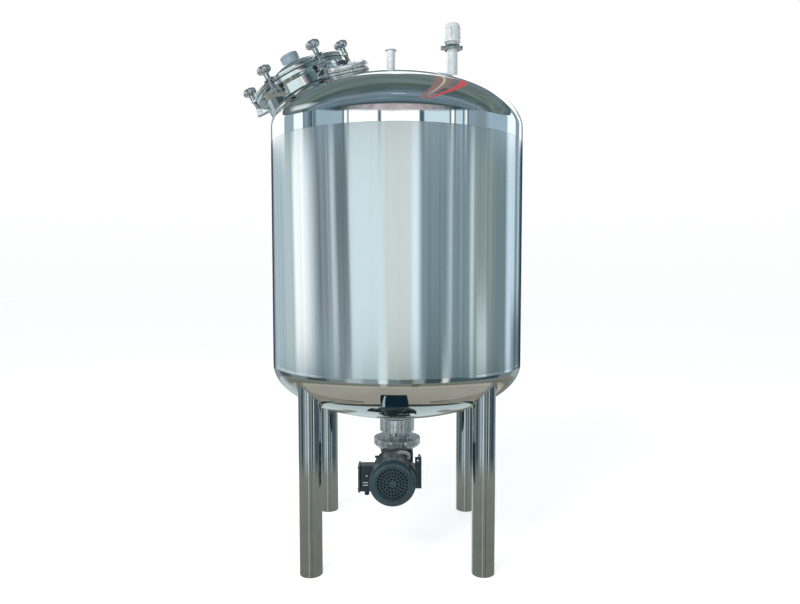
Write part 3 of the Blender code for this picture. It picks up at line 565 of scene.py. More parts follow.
def to_head(place, x, y, surface):
    """Height in a frame at which the line through (x, y) meets a head."""
    low, high = -0.2, 0.2
    for _ in range(24):  # halvings, to well under a micrometre
        middle = (low + high) / 2
        at = place @ Vector((x, y, middle))
        if at.z > surface(math.hypot(at.x - TANK_X, at.y)):
            high = middle
        else:
            low = middle
    return middle


def drape(bm, place, surface, near=0.5):
    """Lets the points that lie below SURFACE plus a margin follow the head."""
    for vert in bm.verts:
        if vert.co.z < SURFACE + near:
            vert.co.z += to_head(place, vert.co.x, vert.co.y, surface) - SURFACE
    return bm


def weld_ring(radius, leg, place, surface, steps=96):
    """Fillet weld with a thin bead at its toe, where a tube meets a head."""
    side = 1.0 if surface is top_surface else -1.0
    outline = [
        (radius - 0.0005, SURFACE + side * leg),
        (radius + 0.25 * leg, SURFACE + side * 0.55 * leg),
        (radius + 0.6 * leg, SURFACE + side * 0.22 * leg),
        (radius + leg, SURFACE + side * 0.08 * leg),
        (radius + 1.15 * leg, SURFACE + side * 0.20 * leg),
        (radius + 1.3 * leg, SURFACE + side * 0.02 * leg),
        (radius + 1.3 * leg, SURFACE - side * 0.0012),
        (radius - 0.0005, SURFACE - side * 0.0012),
    ]
    return drape(spun(outline, steps), place, surface)


def angles(count, first=0.0):
    """Equal steps round a full turn, in radians."""
    return [first + 2 * math.pi * i / count for i in range(count)]


# ---- vessel ----------------------------------------------------------------------------------


def add_shell():
    """Plain cylinder between the seams, its ends eased so that each seam shows as a hairline."""
    inner = R_SHELL - WALL
    seam = 0.0006
    outline = [
        (R_SHELL - seam, SEAM_TOP),
        (R_SHELL, SEAM_TOP - seam),
        (R_SHELL, SEAM_BOTTOM + seam),
        (R_SHELL - seam, SEAM_BOTTOM),
        (inner, SEAM_BOTTOM),
        (inner, SEAM_TOP),
    ]
    piece("brushed_shell", spun(outline, 256), brushed, "root", ["shell"], TANK)


def head_outline(line, depth, up, seam):
    """Both faces of a dished end, from the middle of the outside to the middle of the inside.

    Rings crowd towards the knuckle, where its curve is tightest."""
    curve = [math.pi / 2 * (1 - (1 - i / 40) ** 1.5) for i in range(41)]
    outer = [(R_SHELL * math.sin(a), line + up * depth * math.cos(a)) for a in curve]
    inner = [
        ((R_SHELL - WALL) * math.sin(a), line + up * (depth - WALL) * math.cos(a))
        for a in curve[::4]
    ]
    lip = [(R_SHELL, seam + up * 0.0006), (R_SHELL - 0.0006, seam), (R_SHELL - WALL, seam)]
    return outer + lip + inner[::-1]


def add_heads():
    """Polished dished ends above and below the shell."""
    top = head_outline(SEAM_TOP + TOP_FLANGE, TOP_DEPTH, 1, SEAM_TOP)
    piece("polished_top_head", spun(top, 256, False), mirror, "root", ["top_head"], place=TANK)
    low = head_outline(SEAM_BOTTOM - BOTTOM_FLANGE, BOTTOM_DEPTH, -1, SEAM_BOTTOM)
    bm = spun(low, 256, False)
    piece("polished_bottom_head", bm, mirror, "root", ["bottom_head"], place=TANK)


def add_legs():
    """Round tubes with a welded cap below, cut above to the bottom head's curve.

    They reach down past SURFACE plus the usual margin, so theirs is smaller."""
    cap = 0.008 - UNDER
    for name, sx, sy in (
        ("leg_front_left", -1, -1),
        ("leg_front_right", 1, -1),
        ("leg_rear_left", -1, 1),
        ("leg_rear_right", 1, 1),
    ):
        place = TANK @ shift(sx * LEG_REACH, sy * LEG_REACH, UNDER)
        outline = [
            (0.0, -UNDER),
            (R_LEG, -UNDER, 0.0015),
            (R_LEG, cap, 0.0004),
            (R_LEG - 0.0005, cap + 0.0004),
            (R_LEG, cap + 0.0008, 0.0004),
            (R_LEG, SURFACE + 0.0015),
            (R_LEG - 0.003, SURFACE + 0.0015),
            (R_LEG - 0.003, cap),
            (0.0, cap),
        ]
        bm = spun(soften(outline, 3, False), 72, False)
        bm = drape(bm, place, bottom_surface, 0.01)  # moves the open upper rims only
        piece("polished_" + name, bm, mirror_tube, "root", [name], place=place)
        bm = weld_ring(R_LEG, 0.006, place, bottom_surface, 72)
        piece("weld_" + name, bm, weld, place=place)


# ---- manway ----------------------------------------------------------------------------------


def ear_outline(root, end, half, slot):
    """Outline of an ear with an open, round-bottomed slot in its outer end."""
    nose = 0.006
    points = [(root, half), (root, -half), (end - nose, -half), (end, -half + nose), (end, -slot)]
    for i in range(9):
        turn = -math.pi / 2 - math.pi * i / 8
        points.append((BOLT_CIRCLE + slot * math.cos(turn), slot * math.sin(turn)))
    return points + [(end, slot), (end, half - nose), (end - nose, half)]


def cheek(reach, height, radius, foot, thick):
    """Upright cheek with a round top round a pin, its foot running down to a plate."""
    points = [(x, foot) for x in (reach - radius, reach + radius)]
    for i in range(13):
        turn = math.pi * i / 12
        points.append((reach + radius * math.cos(turn), height + radius * math.sin(turn)))
    return moved(plate(points, 0.0, thick), TO_FRONT)


def bolt_lug():
    """Bracket of one swing bolt: a plate on the neck, two cheeks and the pin through them."""
    low = PIVOT_HEIGHT - 0.021
    end = BOLT_CIRCLE + 0.017
    root = R_NECK - 0.002
    shape = [(root, -0.022), (end - 0.014, -0.019), (end, -0.010), (end, 0.010)]
    shape += [(end - 0.014, 0.019), (root, 0.022)]
    ends = (BOLT_CIRCLE, -0.0172, PIVOT_HEIGHT), (BOLT_CIRCLE, 0.0172, PIVOT_HEIGHT)
    cheeks = [
        moved(cheek(BOLT_CIRCLE, PIVOT_HEIGHT, 0.0120, low + 0.003, 0.007), shift(0, y, 0))
        for y in (0.0150, -0.0080)
    ]
    return gather(plate(shape, low, low + 0.006), bar(0.0056, *ends, 20, 0.0008), *cheeks)


def hinge_bracket():
    """Two cheeks on the flange with the pin on which the lid turns."""
    half, thick, gap = 0.026, 0.008, 0.0005
    out = half + thick
    low = FLANGE_LOW + 0.003
    foot = block((R_RIM - 0.006, -out, low), (R_RIM + 0.010, out, FLANGE_HIGH - 0.003))
    webs = [
        block((R_RIM, min(ends), low + 0.002), (HINGE_REACH, max(ends), HINGE_HEIGHT))
        for ends in ((-out + gap, -half - gap), (half + gap, out - gap))
    ]
    ends = [(HINGE_REACH, side * (out - 0.0002), HINGE_HEIGHT) for side in (-1, 1)]
    cheeks = [
        moved(cheek(HINGE_REACH, HINGE_HEIGHT, 0.0125, low + 0.004, thick), shift(0, y, 0))
        for y in (-half, out)
    ]
    bm = gather(foot, *webs, bar(0.005, *ends, 20), *cheeks)
    return moved(bm, Matrix.Rotation(HINGE_ANGLE, 4, "Z"))


def add_neck():
    """Neck with its flange, the bolts' lugs, the hinge's bracket, the weld and the pad's edge."""
    inner = R_NECK - WALL
    outline = [
        (R_NECK, FLANGE_LOW + 0.002),
        (R_NECK, SURFACE - 0.002),
        (inner, SURFACE - 0.008),
        (inner, FLANGE_HIGH, 0.001),
        (R_RIM, FLANGE_HIGH, 0.002),
        (R_RIM, FLANGE_LOW, 0.003),
        (R_NECK + 0.004, FLANGE_LOW),
    ]
    bm = drape(spun(soften(outline), 144), MANWAY, top_surface)
    piece("manway_neck_tube", bm, mirror, "root", ["manway_neck"], place=MANWAY)
    first = around(bolt_lug(), angles(6, BOLT_FIRST))
    piece("swing_bolt_lugs", first, mirror_small, place=MANWAY)
    piece("hinge_bracket", hinge_bracket(), mirror_small, place=MANWAY)
    bm = weld_ring(R_NECK, 0.009, MANWAY, top_surface, 144)
    piece("manway_neck_weld", bm, weld, place=MANWAY)
    pad, bead = R_NECK + 0.019, 0.0022
    ring = [(pad + bead * math.cos(a), SURFACE + bead * math.sin(a)) for a in angles(10)]
    bm = drape(spun(ring, 144), MANWAY, top_surface)
    piece("manway_pad_edge", bm, mirror_small, place=MANWAY)


def dome_height(reach, inside=0.0):
    """Height of the lid's dome at a distance from its middle, or of a face further inside."""
    radius = (R_NECK**2 + LID_RISE**2) / (2 * LID_RISE)
    return LID_HIGH + LID_RISE - radius + math.sqrt((radius - inside) ** 2 - reach**2)


def add_lid():
    """Dished lid with its slotted ears, gasket, port and hinge arm."""
    seat = FLANGE_HIGH + 0.0036
    arcs = 20
    spread = 0.185
    dome = [(R_NECK * i / arcs, dome_height(R_NECK * i / arcs)) for i in range(arcs)]
    reaches = [spread * i / arcs for i in range(arcs, -1, -1)]
    under = [(reach, dome_height(reach, WALL)) for reach in reaches]
    rim = [
        (R_NECK + 0.001, LID_HIGH + 0.0004, 0.004),
        (R_RIM, LID_HIGH, 0.003),
        (R_RIM, seat + 0.0075, 0.0006),
        (R_RIM - 0.0012, seat + 0.0068),
        (R_RIM, seat + 0.0061, 0.0006),
        (R_RIM, seat, 0.003),
        (R_NECK - 0.006, seat),
    ]
    bm = spun(soften(dome + rim + under, 4, False), 144, False)
    piece("dished_lid", bm, mirror, "root", ["manway_lid"], place=MANWAY)
    outline = ear_outline(R_RIM - 0.012, BOLT_CIRCLE + 0.012, 0.025, 0.0095)
    ear = plate(outline, LID_HIGH - 0.012, LID_HIGH + 0.0005, 0.002)
    piece("lid_ears", around(ear, angles(6, BOLT_FIRST)), mirror_small, place=MANWAY)
    low, high = FLANGE_HIGH + 0.0002, FLANGE_HIGH + 0.0034
    inner, outer = R_NECK - WALL, 0.218
    gasket = [(outer, high, 0.001), (outer, low, 0.001), (inner, low), (inner, high)]
    bm = spun(soften(gasket), 96)
    piece("silicone_gasket", bm, silicone, "root", ["manway_gasket"], MANWAY)
    top = dome_height(0.0) + PORT_HEIGHT
    bore, recess = 0.030, 0.038
    ring = [
        (R_PORT_RING, top, 0.002),
        (R_PORT_RING, top - 0.012, 0.0006),
        (R_PORT_RING - 0.0016, top - 0.0128),
        (R_PORT_RING, top - 0.0136, 0.0006),
        (R_PORT_RING, dome_height(R_PORT_RING) + 0.0003),
        (bore, dome_height(bore) + 0.0003),
        (bore, top - 0.008),
        (recess, top - 0.008),
        (recess, top, 0.001),
    ]
    bm = spun(soften(ring), 80)
    piece("lid_port_ring", bm, blasted, "root", ["lid_sight_ring"], MANWAY)
    high, low = top - 0.001, top - 0.0077
    edge = recess - 0.0006
    disc = [(0.0, high), (edge, high, 0.0006), (edge, low), (0.0, low)]
    bm = spun(soften(disc, 2, False), 64, False)
    piece("lid_port_glass", bm, glass, "root", ["lid_sight_glass"], MANWAY)
    top, half = LID_HIGH + 0.008, 0.0248
    arm = gather(
        block((R_RIM - 0.030, -half, LID_HIGH + 0.0003), (HINGE_REACH, half, top)),
        bar(0.0125, (HINGE_REACH, -half, HINGE_HEIGHT), (HINGE_REACH, half, HINGE_HEIGHT), 32),
        *[screw(0.006, 0.006, shift(R_RIM - 0.016, y, top)) for y in (-0.014, 0.014)],
    )
    arm = moved(arm, Matrix.Rotation(HINGE_ANGLE, 4, "Z"))
    piece("hinge_arm", arm, mirror_small, "root", ["lid_hinge_arm"], place=MANWAY)


def knob():
    """Star knob cast in stainless, six-lobed and crowned; heights count from the pivot."""
    low = KNOB_LOW - 0.006
    # Share of the radius, height, and share of the lobes' depth
    levels = (
        (0.42, low, 0.0),
        (0.60, low + 0.001, 0.3),
        (0.86, low + 0.005, 0.9),
        (0.98, low + 0.011, 1.0),
        (1.00, low + 0.016, 1.0),
        (0.99, KNOB_HIGH - 0.011, 1.0),
        (0.93, KNOB_HIGH - 0.006, 1.0),
        (0.78, KNOB_HIGH - 0.0025, 0.8),
        (0.52, KNOB_HIGH - 0.0008, 0.4),
        (0.26, KNOB_HIGH, 0.0),
    )
    bm = bmesh.new()
    loops = []
    for scale, z, lobes in levels:
        made = bmesh.ops.create_circle(bm, cap_ends=False, segments=72, radius=R_KNOB * scale)
        for vert in made["verts"]:
            turn = math.atan2(vert.co.y, vert.co.x)
            vert.co *= 1.0 - 0.22 * lobes * ((1.0 - math.cos(6 * turn)) / 2) ** 1.6
            vert.co.z = z
        edges = {e for v in made["verts"] for e in v.link_edges}
        if loops:
            bmesh.ops.bridge_loops(bm, edges=list(loops[-1] | edges))
        loops.append(edges)
    for end in (loops[0], loops[-1]):
        bmesh.ops.edgeloop_fill(bm, edges=list(end))
    bmesh.ops.recalc_face_normals(bm, faces=bm.faces[:])
    foot = LID_HIGH - PIVOT_HEIGHT + 0.0016
    sleeve = [
        (0.0088, foot),
        (0.0130, foot, 0.001),
        (0.0130, low - 0.004, 0.003),
        (0.0150, low + 0.001),
        (0.0088, low + 0.001),
    ]
    return gather(bm, spun(soften(sleeve), 48))


def eye_bolt():
    """Forged eye bolt; its thread is drawn as rings 2.5 mm apart."""
    rod, root, pitch = 0.0085, 0.0072, 0.0025
    outline = [(0.0, 0.004), (root, 0.004)]
    turns = int((KNOB_HIGH - 0.020) / pitch)
    for i in range(turns):
        z = 0.011 + i * pitch
        if z < KNOB_HIGH - 0.010:
            outline += [(root, z), (rod, z + 0.0009), (rod, z + 0.0013), (root, z + 0.0022)]
    outline += [(root, KNOB_HIGH - 0.0075), (0.0, KNOB_HIGH - 0.0075)]
    eye = [(0.0056, 0.0065), (R_EYE, 0.0065, 0.0015), (R_EYE, -0.0065, 0.0015), (0.0056, -0.0065)]
    eye = moved(spun(soften(eye), 40), TO_FRONT)
    return gather(spun(outline, 24, False), eye)


def add_bolts():
    """Six swing bolts with their knobs, each on its own body."""
    for i, turn in enumerate(angles(6, BOLT_FIRST), 1):
        place = MANWAY @ Matrix.Rotation(turn, 4, "Z") @ shift(BOLT_CIRCLE, 0, PIVOT_HEIGHT)
        body = f"bolt_{i}"
        piece(f"eye_bolt_{i}", eye_bolt(), mirror_small, body, [f"swing_bolt_{i}"], place=place)
        nodes = [f"hand_knob_{i}"]
        piece(f"star_knob_{i}", knob(), mirror_small, body, nodes, place=place, sharp=50)


# ---- fittings on the top head ----------------------------------------------------------------


def add_sight_glass():
    """Flanged sight glass: base ring, screwed cover ring, seal and pane."""
    bore, circle = 0.050, 0.078
    base = [
        (R_SIGHT, 0.020, 0.003),
        (R_SIGHT, 0.0105, 0.001),
        (R_SIGHT - 0.0045, 0.0085, 0.001),
        (R_SIGHT - 0.0045, 0.0045, 0.001),
        (R_SIGHT, 0.0025, 0.001),
        (R_SIGHT, SURFACE - 0.002),
        (bore, SURFACE - 0.006),
        (bore, 0.020),
    ]
    bm = drape(spun(soften(base), 96), SIGHT, top_surface)
    piece("sight_base", bm, turned_sight, "root", ["sight_base_ring"], SIGHT)
    low, high = 0.0246, 0.0426
    cover = [
        (R_SIGHT - 0.0015, high, 0.004),
        (R_SIGHT, low + 0.0090, 0.0010),
        (R_SIGHT - 0.0025, low + 0.0078),
        (R_SIGHT, low + 0.0066, 0.0010),
        (R_SIGHT, low, 0.0030),
        (bore, low),
        (bore, low + 0.010),
        (0.058, high, 0.001),
    ]
    caps = around(screw(0.0052, 0.0045, shift(circle, 0, high - 0.0002)), angles(8, 0.2))
    nuts = around(bar(0.0048, (circle, 0, 0.0202), (circle, 0, low - 0.0001), 6), angles(8, 0.2))
    bm = gather(spun(soften(cover), 96), caps, nuts)
    piece("sight_cover", bm, turned_sight, "root", ["sight_cover_ring"], SIGHT)
    inner, outer, foot, top = 0.0667, 0.0715, 0.0204, 0.0243
    seal = [(outer, top, 0.0008), (outer, foot), (inner, foot), (inner, top)]
    bm = spun(soften(seal), 80)
    piece("sight_seal", bm, silicone, "root", ["sight_gasket"], SIGHT)
    edge = inner - 0.0008
    disc = [(0.0, top), (edge, top, 0.0004), (edge, foot - 0.0001), (0.0, foot - 0.0001)]
    bm = spun(soften(disc, 2, False), 80, False)
    piece("sight_pane", bm, glass, "root", ["sight_glass_disc"], SIGHT)
    bm = weld_ring(R_SIGHT, 0.004, SIGHT, top_surface, 80)
    piece("sight_weld", bm, weld, place=SIGHT)


def ferrule(r_tube, r_rim, face, wall=0.0015):
    """Tube that stands on the head, with a clamp ferrule whose face is grooved for its seal."""
    groove = (r_tube + r_rim) / 2
    return soften(
        [
            (r_rim, face, 0.0006),
            (r_rim, face - 0.0029, 0.0006),
            (r_tube + 0.0015, face - 0.0065, 0.002),
            (r_tube, face - 0.014, 0.003),
            (r_tube, SURFACE - 0.003),
            (r_tube - wall, SURFACE - 0.006),
            (r_tube - wall, face, 0.0005),
            (groove - 0.002, face),
            (groove, face - 0.0014),
            (groove + 0.002, face),
        ]
    )


def add_standpipe(name, node, r_tube, r_rim, x, y, face):
    """Ferruled pipe that stands upright on the head, with its weld."""
    foot = top_surface(math.hypot(x, y))
    place = TANK @ shift(x, y, foot)
    bm = drape(spun(ferrule(r_tube, r_rim, face - foot), 64), place, top_surface)
    piece(name + "_tube", bm, satin_pipe, "root", [node], place=place)
    bm = weld_ring(r_tube, 0.003, place, top_surface, 64)
    piece(name + "_weld", bm, weld, place=place)


def clamp_band(r_out, r_in, half):
    """Ring clamp pressed over two ferrules, with a crowned back and open flanks."""
    return soften(
        [
            (r_out, half * 0.55, 0.0015),
            (r_out - 0.002, half, 0.0015),
            (r_in + 0.001, half, 0.001),
            (r_in, half * 0.4),
            (r_in, -half * 0.4),
            (r_in + 0.001, -half, 0.001),
            (r_out - 0.002, -half, 0.0015),
            (r_out, -half * 0.55, 0.0015),
        ]
    )


def clamp_ear(left, right, front, back):
    """Ear of a ring clamp, 17 mm high."""
    return block((left, front, -0.0085), (right, back, 0.0085), 0.002, 3)


def wing_nut(length):
    """Wing nut on its screw, pointing along -Y from the origin."""
    hub = [(0.0, 0.0), (0.0062, 0.0, 0.001), (0.0050, 0.010, 0.001), (0.0, 0.010)]
    wings = [
        block((min(x, 1.6 * x), -0.0016, 0.002), (max(x, 1.6 * x), 0.0016, 0.014), 0.0012)
        for x in (-0.0045, 0.0045)
    ]
    rod = bar(0.0030, (0, 0, -0.002), (0, 0, length), 20, 0.0005)
    bm = gather(spun(soften(hub, 3, False), 32, False), *wings, rod)
    return moved(bm, TO_FRONT)


def add_vent():
    """Inlet nozzle, then the vent: pipe, clamp with its wing nut, and filter housing."""
    rim = 0.0325
    face = VENT_JOINT - 0.0003
    add_standpipe("inlet", "inlet_nozzle", R_INLET, R_INLET_RIM, NOZZLE_X, NOZZLE_Y, NOZZLE_TOP)
    add_standpipe("vent", "vent_pipe", R_VENT, rim, VENT_X, VENT_Y, face)
    joint = TANK @ shift(VENT_X, VENT_Y, VENT_JOINT)
    ears = [
        clamp_ear(-0.056, -0.037, -0.009, -0.0015),
        clamp_ear(-0.056, -0.037, 0.0015, 0.009),
        clamp_ear(0.037, 0.050, -0.009, 0.009),
        bar(0.0035, (0.0455, 0, -0.0100), (0.0455, 0, 0.0100), 20),
        bar(0.0028, (-0.048, -0.0095, 0), (-0.048, 0.012, 0), 20),
        bar(0.0055, (-0.048, 0.009, 0), (-0.048, 0.013, 0), 6),
    ]
    bm = gather(spun(clamp_band(0.040, rim + 0.0006, 0.0115), 72), *ears)
    piece("vent_clamp_ring", bm, mirror_small, "root", ["vent_clamp"], place=joint)
    nut = moved(wing_nut(0.019), shift(-0.048, -0.0093, 0))
    piece("vent_wing_nut", nut, mirror_small, "root", ["vent_clamp_nut"], place=joint)
    top = FILTER_TOP - VENT_JOINT
    body = [
        (0.0, 0.0003),
        (rim, 0.0003, 0.0005),
        (rim, 0.0032, 0.0005),
        (R_VENT + 0.001, 0.0068, 0.002),
        (R_VENT + 0.002, 0.018, 0.003),
        (R_FILTER, 0.026, 0.003),
        (R_FILTER, top - 0.034, 0.001),
        (R_FILTER - 0.0012, top - 0.0333),
        (R_FILTER - 0.0012, top - 0.0317),
        (R_FILTER, top - 0.031, 0.001),
        (R_FILTER, top - 0.022, 0.004),
        (R_FILTER * 0.94, top - 0.0115, 0.006),
        (R_FILTER * 0.72, top - 0.0035, 0.006),
        (R_FILTER * 0.30, top, 0.006),
        (0.0, top),
    ]
    bm = spun(soften(body, 4, False), 80, False)
    piece("vent_filter_body", bm, satin_pipe, "root", ["vent_filter_housing"], place=joint)
    column = gather(
        *[
            bar(0.0024, (R_FILTER - 0.004, 0, z), (R_FILTER + 0.0001, 0, z), 14)
            for z in [top - 0.036 - k * 0.0125 for k in range(4)]
        ]
    )
    holes = around(column, angles(4, math.radians(-100)))
    piece("filter_breather_holes", holes, unlit, place=joint)


# ---- bottom drive ----------------------------------------------------------------------------


def add_outlet():
    """Outlet nozzle under the bottom head, with the clamp that carries the drive."""
    face = OUTLET_JOINT + 0.00015 - UNDER
    inner = R_OUTLET - 0.003
    place = TANK @ shift(0, 0, UNDER)
    tube = [
        (R_OUTLET, SURFACE + 0.003),
        (R_OUTLET, face + 0.012, 0.002),
        (R_OUTLET_RIM, face + 0.0058, 0.001),
        (R_OUTLET_RIM, face),
        (inner, face),
        (inner, SURFACE + 0.003),
    ]
    bm = drape(spun(soften(tube), 80), place, bottom_surface)
    piece("outlet_tube", bm, mirror_small, "root", ["outlet_nozzle"], place=place)
    bm = weld_ring(R_OUTLET, 0.003, place, bottom_surface, 80)
    piece("outlet_weld", bm, weld, place=place)
    joint = TANK @ shift(0, 0, OUTLET_JOINT)
    ears = [
        clamp_ear(0.076, 0.100, -0.012, -0.002),
        clamp_ear(0.076, 0.100, 0.002, 0.012),
        bar(0.0035, (0.090, -0.0125, 0), (0.090, 0.014, 0), 20),
        bar(0.0070, (0.090, 0.0115, 0), (0.090, 0.0165, 0), 6),
    ]
    bm = gather(spun(clamp_band(0.080, 0.0712, 0.0115), 96), *ears)
    piece("drive_clamp", bm, turned_bar, "root", ["outlet_clamp"], joint)
    nut = moved(wing_nut(0.021), shift(0.090, -0.0122, 0) @ Matrix.Scale(1.2, 4))
    nodes = ["outlet_clamp_nut"]
    piece("drive_wing_nut", nut, mirror_small, "root", nodes, joint)


def add_coupling():
    """Machined housing under the clamp, its waist with a port, and the studded drive flange."""
    groove = HOUSING_GROOVE
    housing = [
        (0.0, OUTLET_JOINT - 0.0002),
        (R_OUTLET_RIM, OUTLET_JOINT - 0.0002),
        (R_OUTLET_RIM, HOUSING_HIGH),
        (R_HOUSING, HOUSING_HIGH, 0.002),
        (R_HOUSING, groove + 0.003, 0.0006),
        (R_HOUSING - 0.0035, groove + 0.003),
        (R_HOUSING - 0.0035, groove),
        (R_HOUSING, groove, 0.0006),
        (R_HOUSING, groove - 0.0080, 0.0006),
        (R_HOUSING - 0.0020, groove - 0.0092),
        (R_HOUSING, groove - 0.0104, 0.0006),
        (R_HOUSING, HOUSING_LOW, 0.002),
        (0.0, HOUSING_LOW),
    ]
    bm = spun(soften(housing, 3, False), 112, False)
    piece("coupling_body", bm, turned_bar, "root", ["coupling_housing"], TANK)
    high, low = HOUSING_LOW - 0.0003, FLANGE_TOP + 0.0003
    waist = [(0.0, high), (R_WAIST, high), (R_WAIST, low), (0.0, low)]
    bm = spun(soften(waist, 2, False), 80, False)
    piece("coupling_waist", bm, turned_bar, "root", ["coupling_neck"], TANK)
    disc = [
        (0.0, FLANGE_TOP),
        (R_FLANGE, FLANGE_TOP, 0.0025),
        (R_FLANGE, FLANGE_BASE + 0.014, 0.0015),
        (R_FLANGE - 0.012, FLANGE_BASE, 0.003),
        (0.0, FLANGE_BASE),
    ]
    bm = spun(soften(disc, 3, False), 128, False)
    piece("drive_disc", bm, turned_bar, "root", ["drive_flange"], TANK)
    inner, outer = R_WAIST + 0.0005, R_FLANGE - 0.0025
    high, low = FLANGE_TOP + 0.0002, FLANGE_TOP - 0.001
    face = [(inner, low), (outer, low), (outer, high), (inner, high)]
    # the face ring's grey is painted shade
    piece("drive_disc_face", spun(face, 128), faced_flange_shaded, place=TANK)
    x, z = 0.090, FLANGE_BASE
    stud = gather(
        bar(0.0080, (x, 0, z - 0.0075), (x, 0, z + 0.0001), 6, 0.0008),
        bar(0.0045, (x, 0, z - 0.0190), (x, 0, z - 0.006), 20, 0.0006),
    )
    studs = around(stud, [math.radians(a) for a in (-114, -80, -46, 46, 80, 114, 148, -148)])
    piece("drive_disc_studs", studs, zinc, place=TANK)
    port = [
        (0.0, 0.0),
        (0.0095, 0.0, 0.001),
        (0.0095, 0.008, 0.001),
        (0.0065, 0.010),
        (0.0060, 0.0205, 0.001),
        (0.0, 0.0205),
    ]
    bm = moved(spun(soften(port, 3, False), 32, False), TO_RIGHT)
    z = (HOUSING_LOW + FLANGE_TOP) / 2 + 0.003
    place = TANK @ Matrix.Rotation(math.radians(-45), 4, "Z") @ shift(R_WAIST - 0.0004, 0, z)
    piece("waist_port", bm, mirror_small, "root", ["neck_port"], place)


def add_gearbox():
    """Cast right-angle gearbox with its collar, bosses, ribs and breather plug."""
    low, high = (-0.078, -0.095, GEARBOX_LOW), (0.078, 0.100, FLANGE_BASE - 0.0003)
    body = block(low, high, 0.014, 5)
    collar = bar(0.0775, (MOTOR_X, -0.1147, MOTOR_Z), (MOTOR_X, -0.081, MOTOR_Z), 64, 0.003)
    for vert in collar.verts:
        vert.co.z = min(vert.co.z, FLANGE_BASE - 0.0006)
    middle = MOTOR_Z + 0.011
    boss = bar(0.056, (0, 0.095, middle), (0, 0.0997, middle), 48, 0.001)
    sides = [
        bar(0.050, (s * 0.074, 0.005, middle), (s * 0.0779, 0.005, middle), 48, 0.0008)
        for s in (-1, 1)
    ]
    caps = around(screw(0.0048, 0.0035, shift(0.047, 0, 0)), angles(6))
    caps = moved(caps, shift(0, 0.0995, middle) @ Matrix.Rotation(-math.pi / 2, 4, "X"))
    foot, head = GEARBOX_LOW + 0.016, FLANGE_BASE - 0.016
    ribs = [
        block((x - 0.002, -0.104, foot), (x + 0.002, -0.090, head), 0.001, 1)
        for x in (-0.070, 0.063, 0.070)
    ]
    bm = gather(body, collar, boss, caps, *sides, *ribs)
    piece("gearbox_casting", bm, enamel, "root", ["gearbox"], TANK)
    y, z = -0.065, 0.430
    plug = gather(
        bar(0.0078, (-0.0783, y, z), (-0.088, y, z), 6, 0.0008),
        bar(0.0060, (-0.086, y, z), (-0.108, y, z), 24, 0.0015),
    )
    piece("breather", plug, nylon, "root", ["breather_plug"], TANK)


def add_motor():
    """Finned motor body, with its screwed fan cover and the dark behind the grille."""
    back, front = 0.115, 0.315
    body = [
        (0.0, front),
        (R_CORE, front),
        (R_CORE, 0.136),
        (R_MOTOR, 0.133, 0.001),
        (R_MOTOR, back, 0.002),
        (0.0, back),
    ]
    fin = block((R_MOTOR - 0.008, -0.0014, 0.137), (R_MOTOR - 0.0002, 0.0014, 0.281), 0.0006, 1)
    fins = around(fin, [a for a in angles(44) if abs(math.cos(a)) < 0.80])
    bm = gather(spun(soften(body, 3, False), 96, False), fins)
    piece("motor_body", bm, enamel, "root", ["motor_frame"], MOTOR)
    inner = R_COVER - 0.002
    cover = [
        (GRILLE, COVER_FRONT - 0.0050),
        (GRILLE + 0.0008, COVER_FRONT - 0.0012, 0.002),
        (GRILLE + 0.0040, COVER_FRONT - 0.0002, 0.002),
        (GRILLE + 0.0085, COVER_FRONT - 0.0024, 0.002),
        (R_COVER - 0.0140, COVER_FRONT - 0.0036, 0.006),
        (R_COVER - 0.0012, COVER_FRONT - 0.0120, 0.009),
        (R_COVER - 0.0006, COVER_FRONT - 0.034, 0.004),
        (R_COVER - 0.0006, COVER_BACK + 0.005, 0.0006),
        (R_COVER, COVER_BACK + 0.0042, 0.0006),
        (R_COVER, COVER_BACK),
        (R_MOTOR + 0.0008, COVER_BACK),
        (R_MOTOR + 0.0008, COVER_BACK + 0.003),
        (inner, COVER_BACK + 0.003),
        (inner - 0.001, COVER_FRONT - 0.034),
        (inner - 0.014, COVER_FRONT - 0.006),
        (GRILLE, COVER_FRONT - 0.0068),
    ]
    bm = spun(soften(cover, 4), 128)
    caps = screw(0.0032, 0.002, shift(0, 0, R_COVER - 0.0012))
    caps = moved(caps, shift(0, 0, COVER_BACK + 0.012) @ TO_RIGHT)
    caps = around(caps, angles(4, math.pi / 4))
    piece("fan_cover", gather(bm, caps), enamel, "root", ["motor_fan_cover"], MOTOR)
    piece("fan_grille", fan_grille(), enamel, place=MOTOR)
    far = COVER_FRONT - 0.012
    dark = [(0.0, far), (0.090, far), (0.090, far - 0.002), (0.0, far - 0.002)]
    piece("fan_dark", spun(dark, 48, False), unlit, place=MOTOR)


def fan_grille():
    """Rings of square holes punched in the fan cover's front, round a plain hub."""
    high, low = COVER_FRONT - 0.0050, COVER_FRONT - 0.0066
    pitch, half = 0.0145, 0.0044
    bands, reach = [], 0.0
    for ring in range(1, 6):
        middle = 0.0070 + pitch * ring
        end = middle - half if ring < 5 else GRILLE + 0.0004
        bands.append(spun([(reach, high), (end, high), (end, low), (reach, low)], 96, reach > 0))
        reach = middle + half
        if ring < 5:
            web = block((middle - half - 0.0002, -0.0030, low), (reach + 0.0002, 0.0030, high), 0)
            bands.append(around(web, angles(round(2 * math.pi * middle / pitch), 0.1 * ring)))
    return gather(*bands)


def saddle(bm):
    """Pushes whatever reaches into the motor's frame out to just under its surface."""
    axis = Vector((MOTOR_X, MOTOR_Z))
    for vert in bm.verts:
        at = Vector((vert.co.x, vert.co.z)) - axis
        if 1e-6 < at.length < R_CORE:
            at = at.normalized() * (R_CORE + 0.001)
            vert.co.x, vert.co.z = axis.x + at.x, axis.y + at.y
    return bm


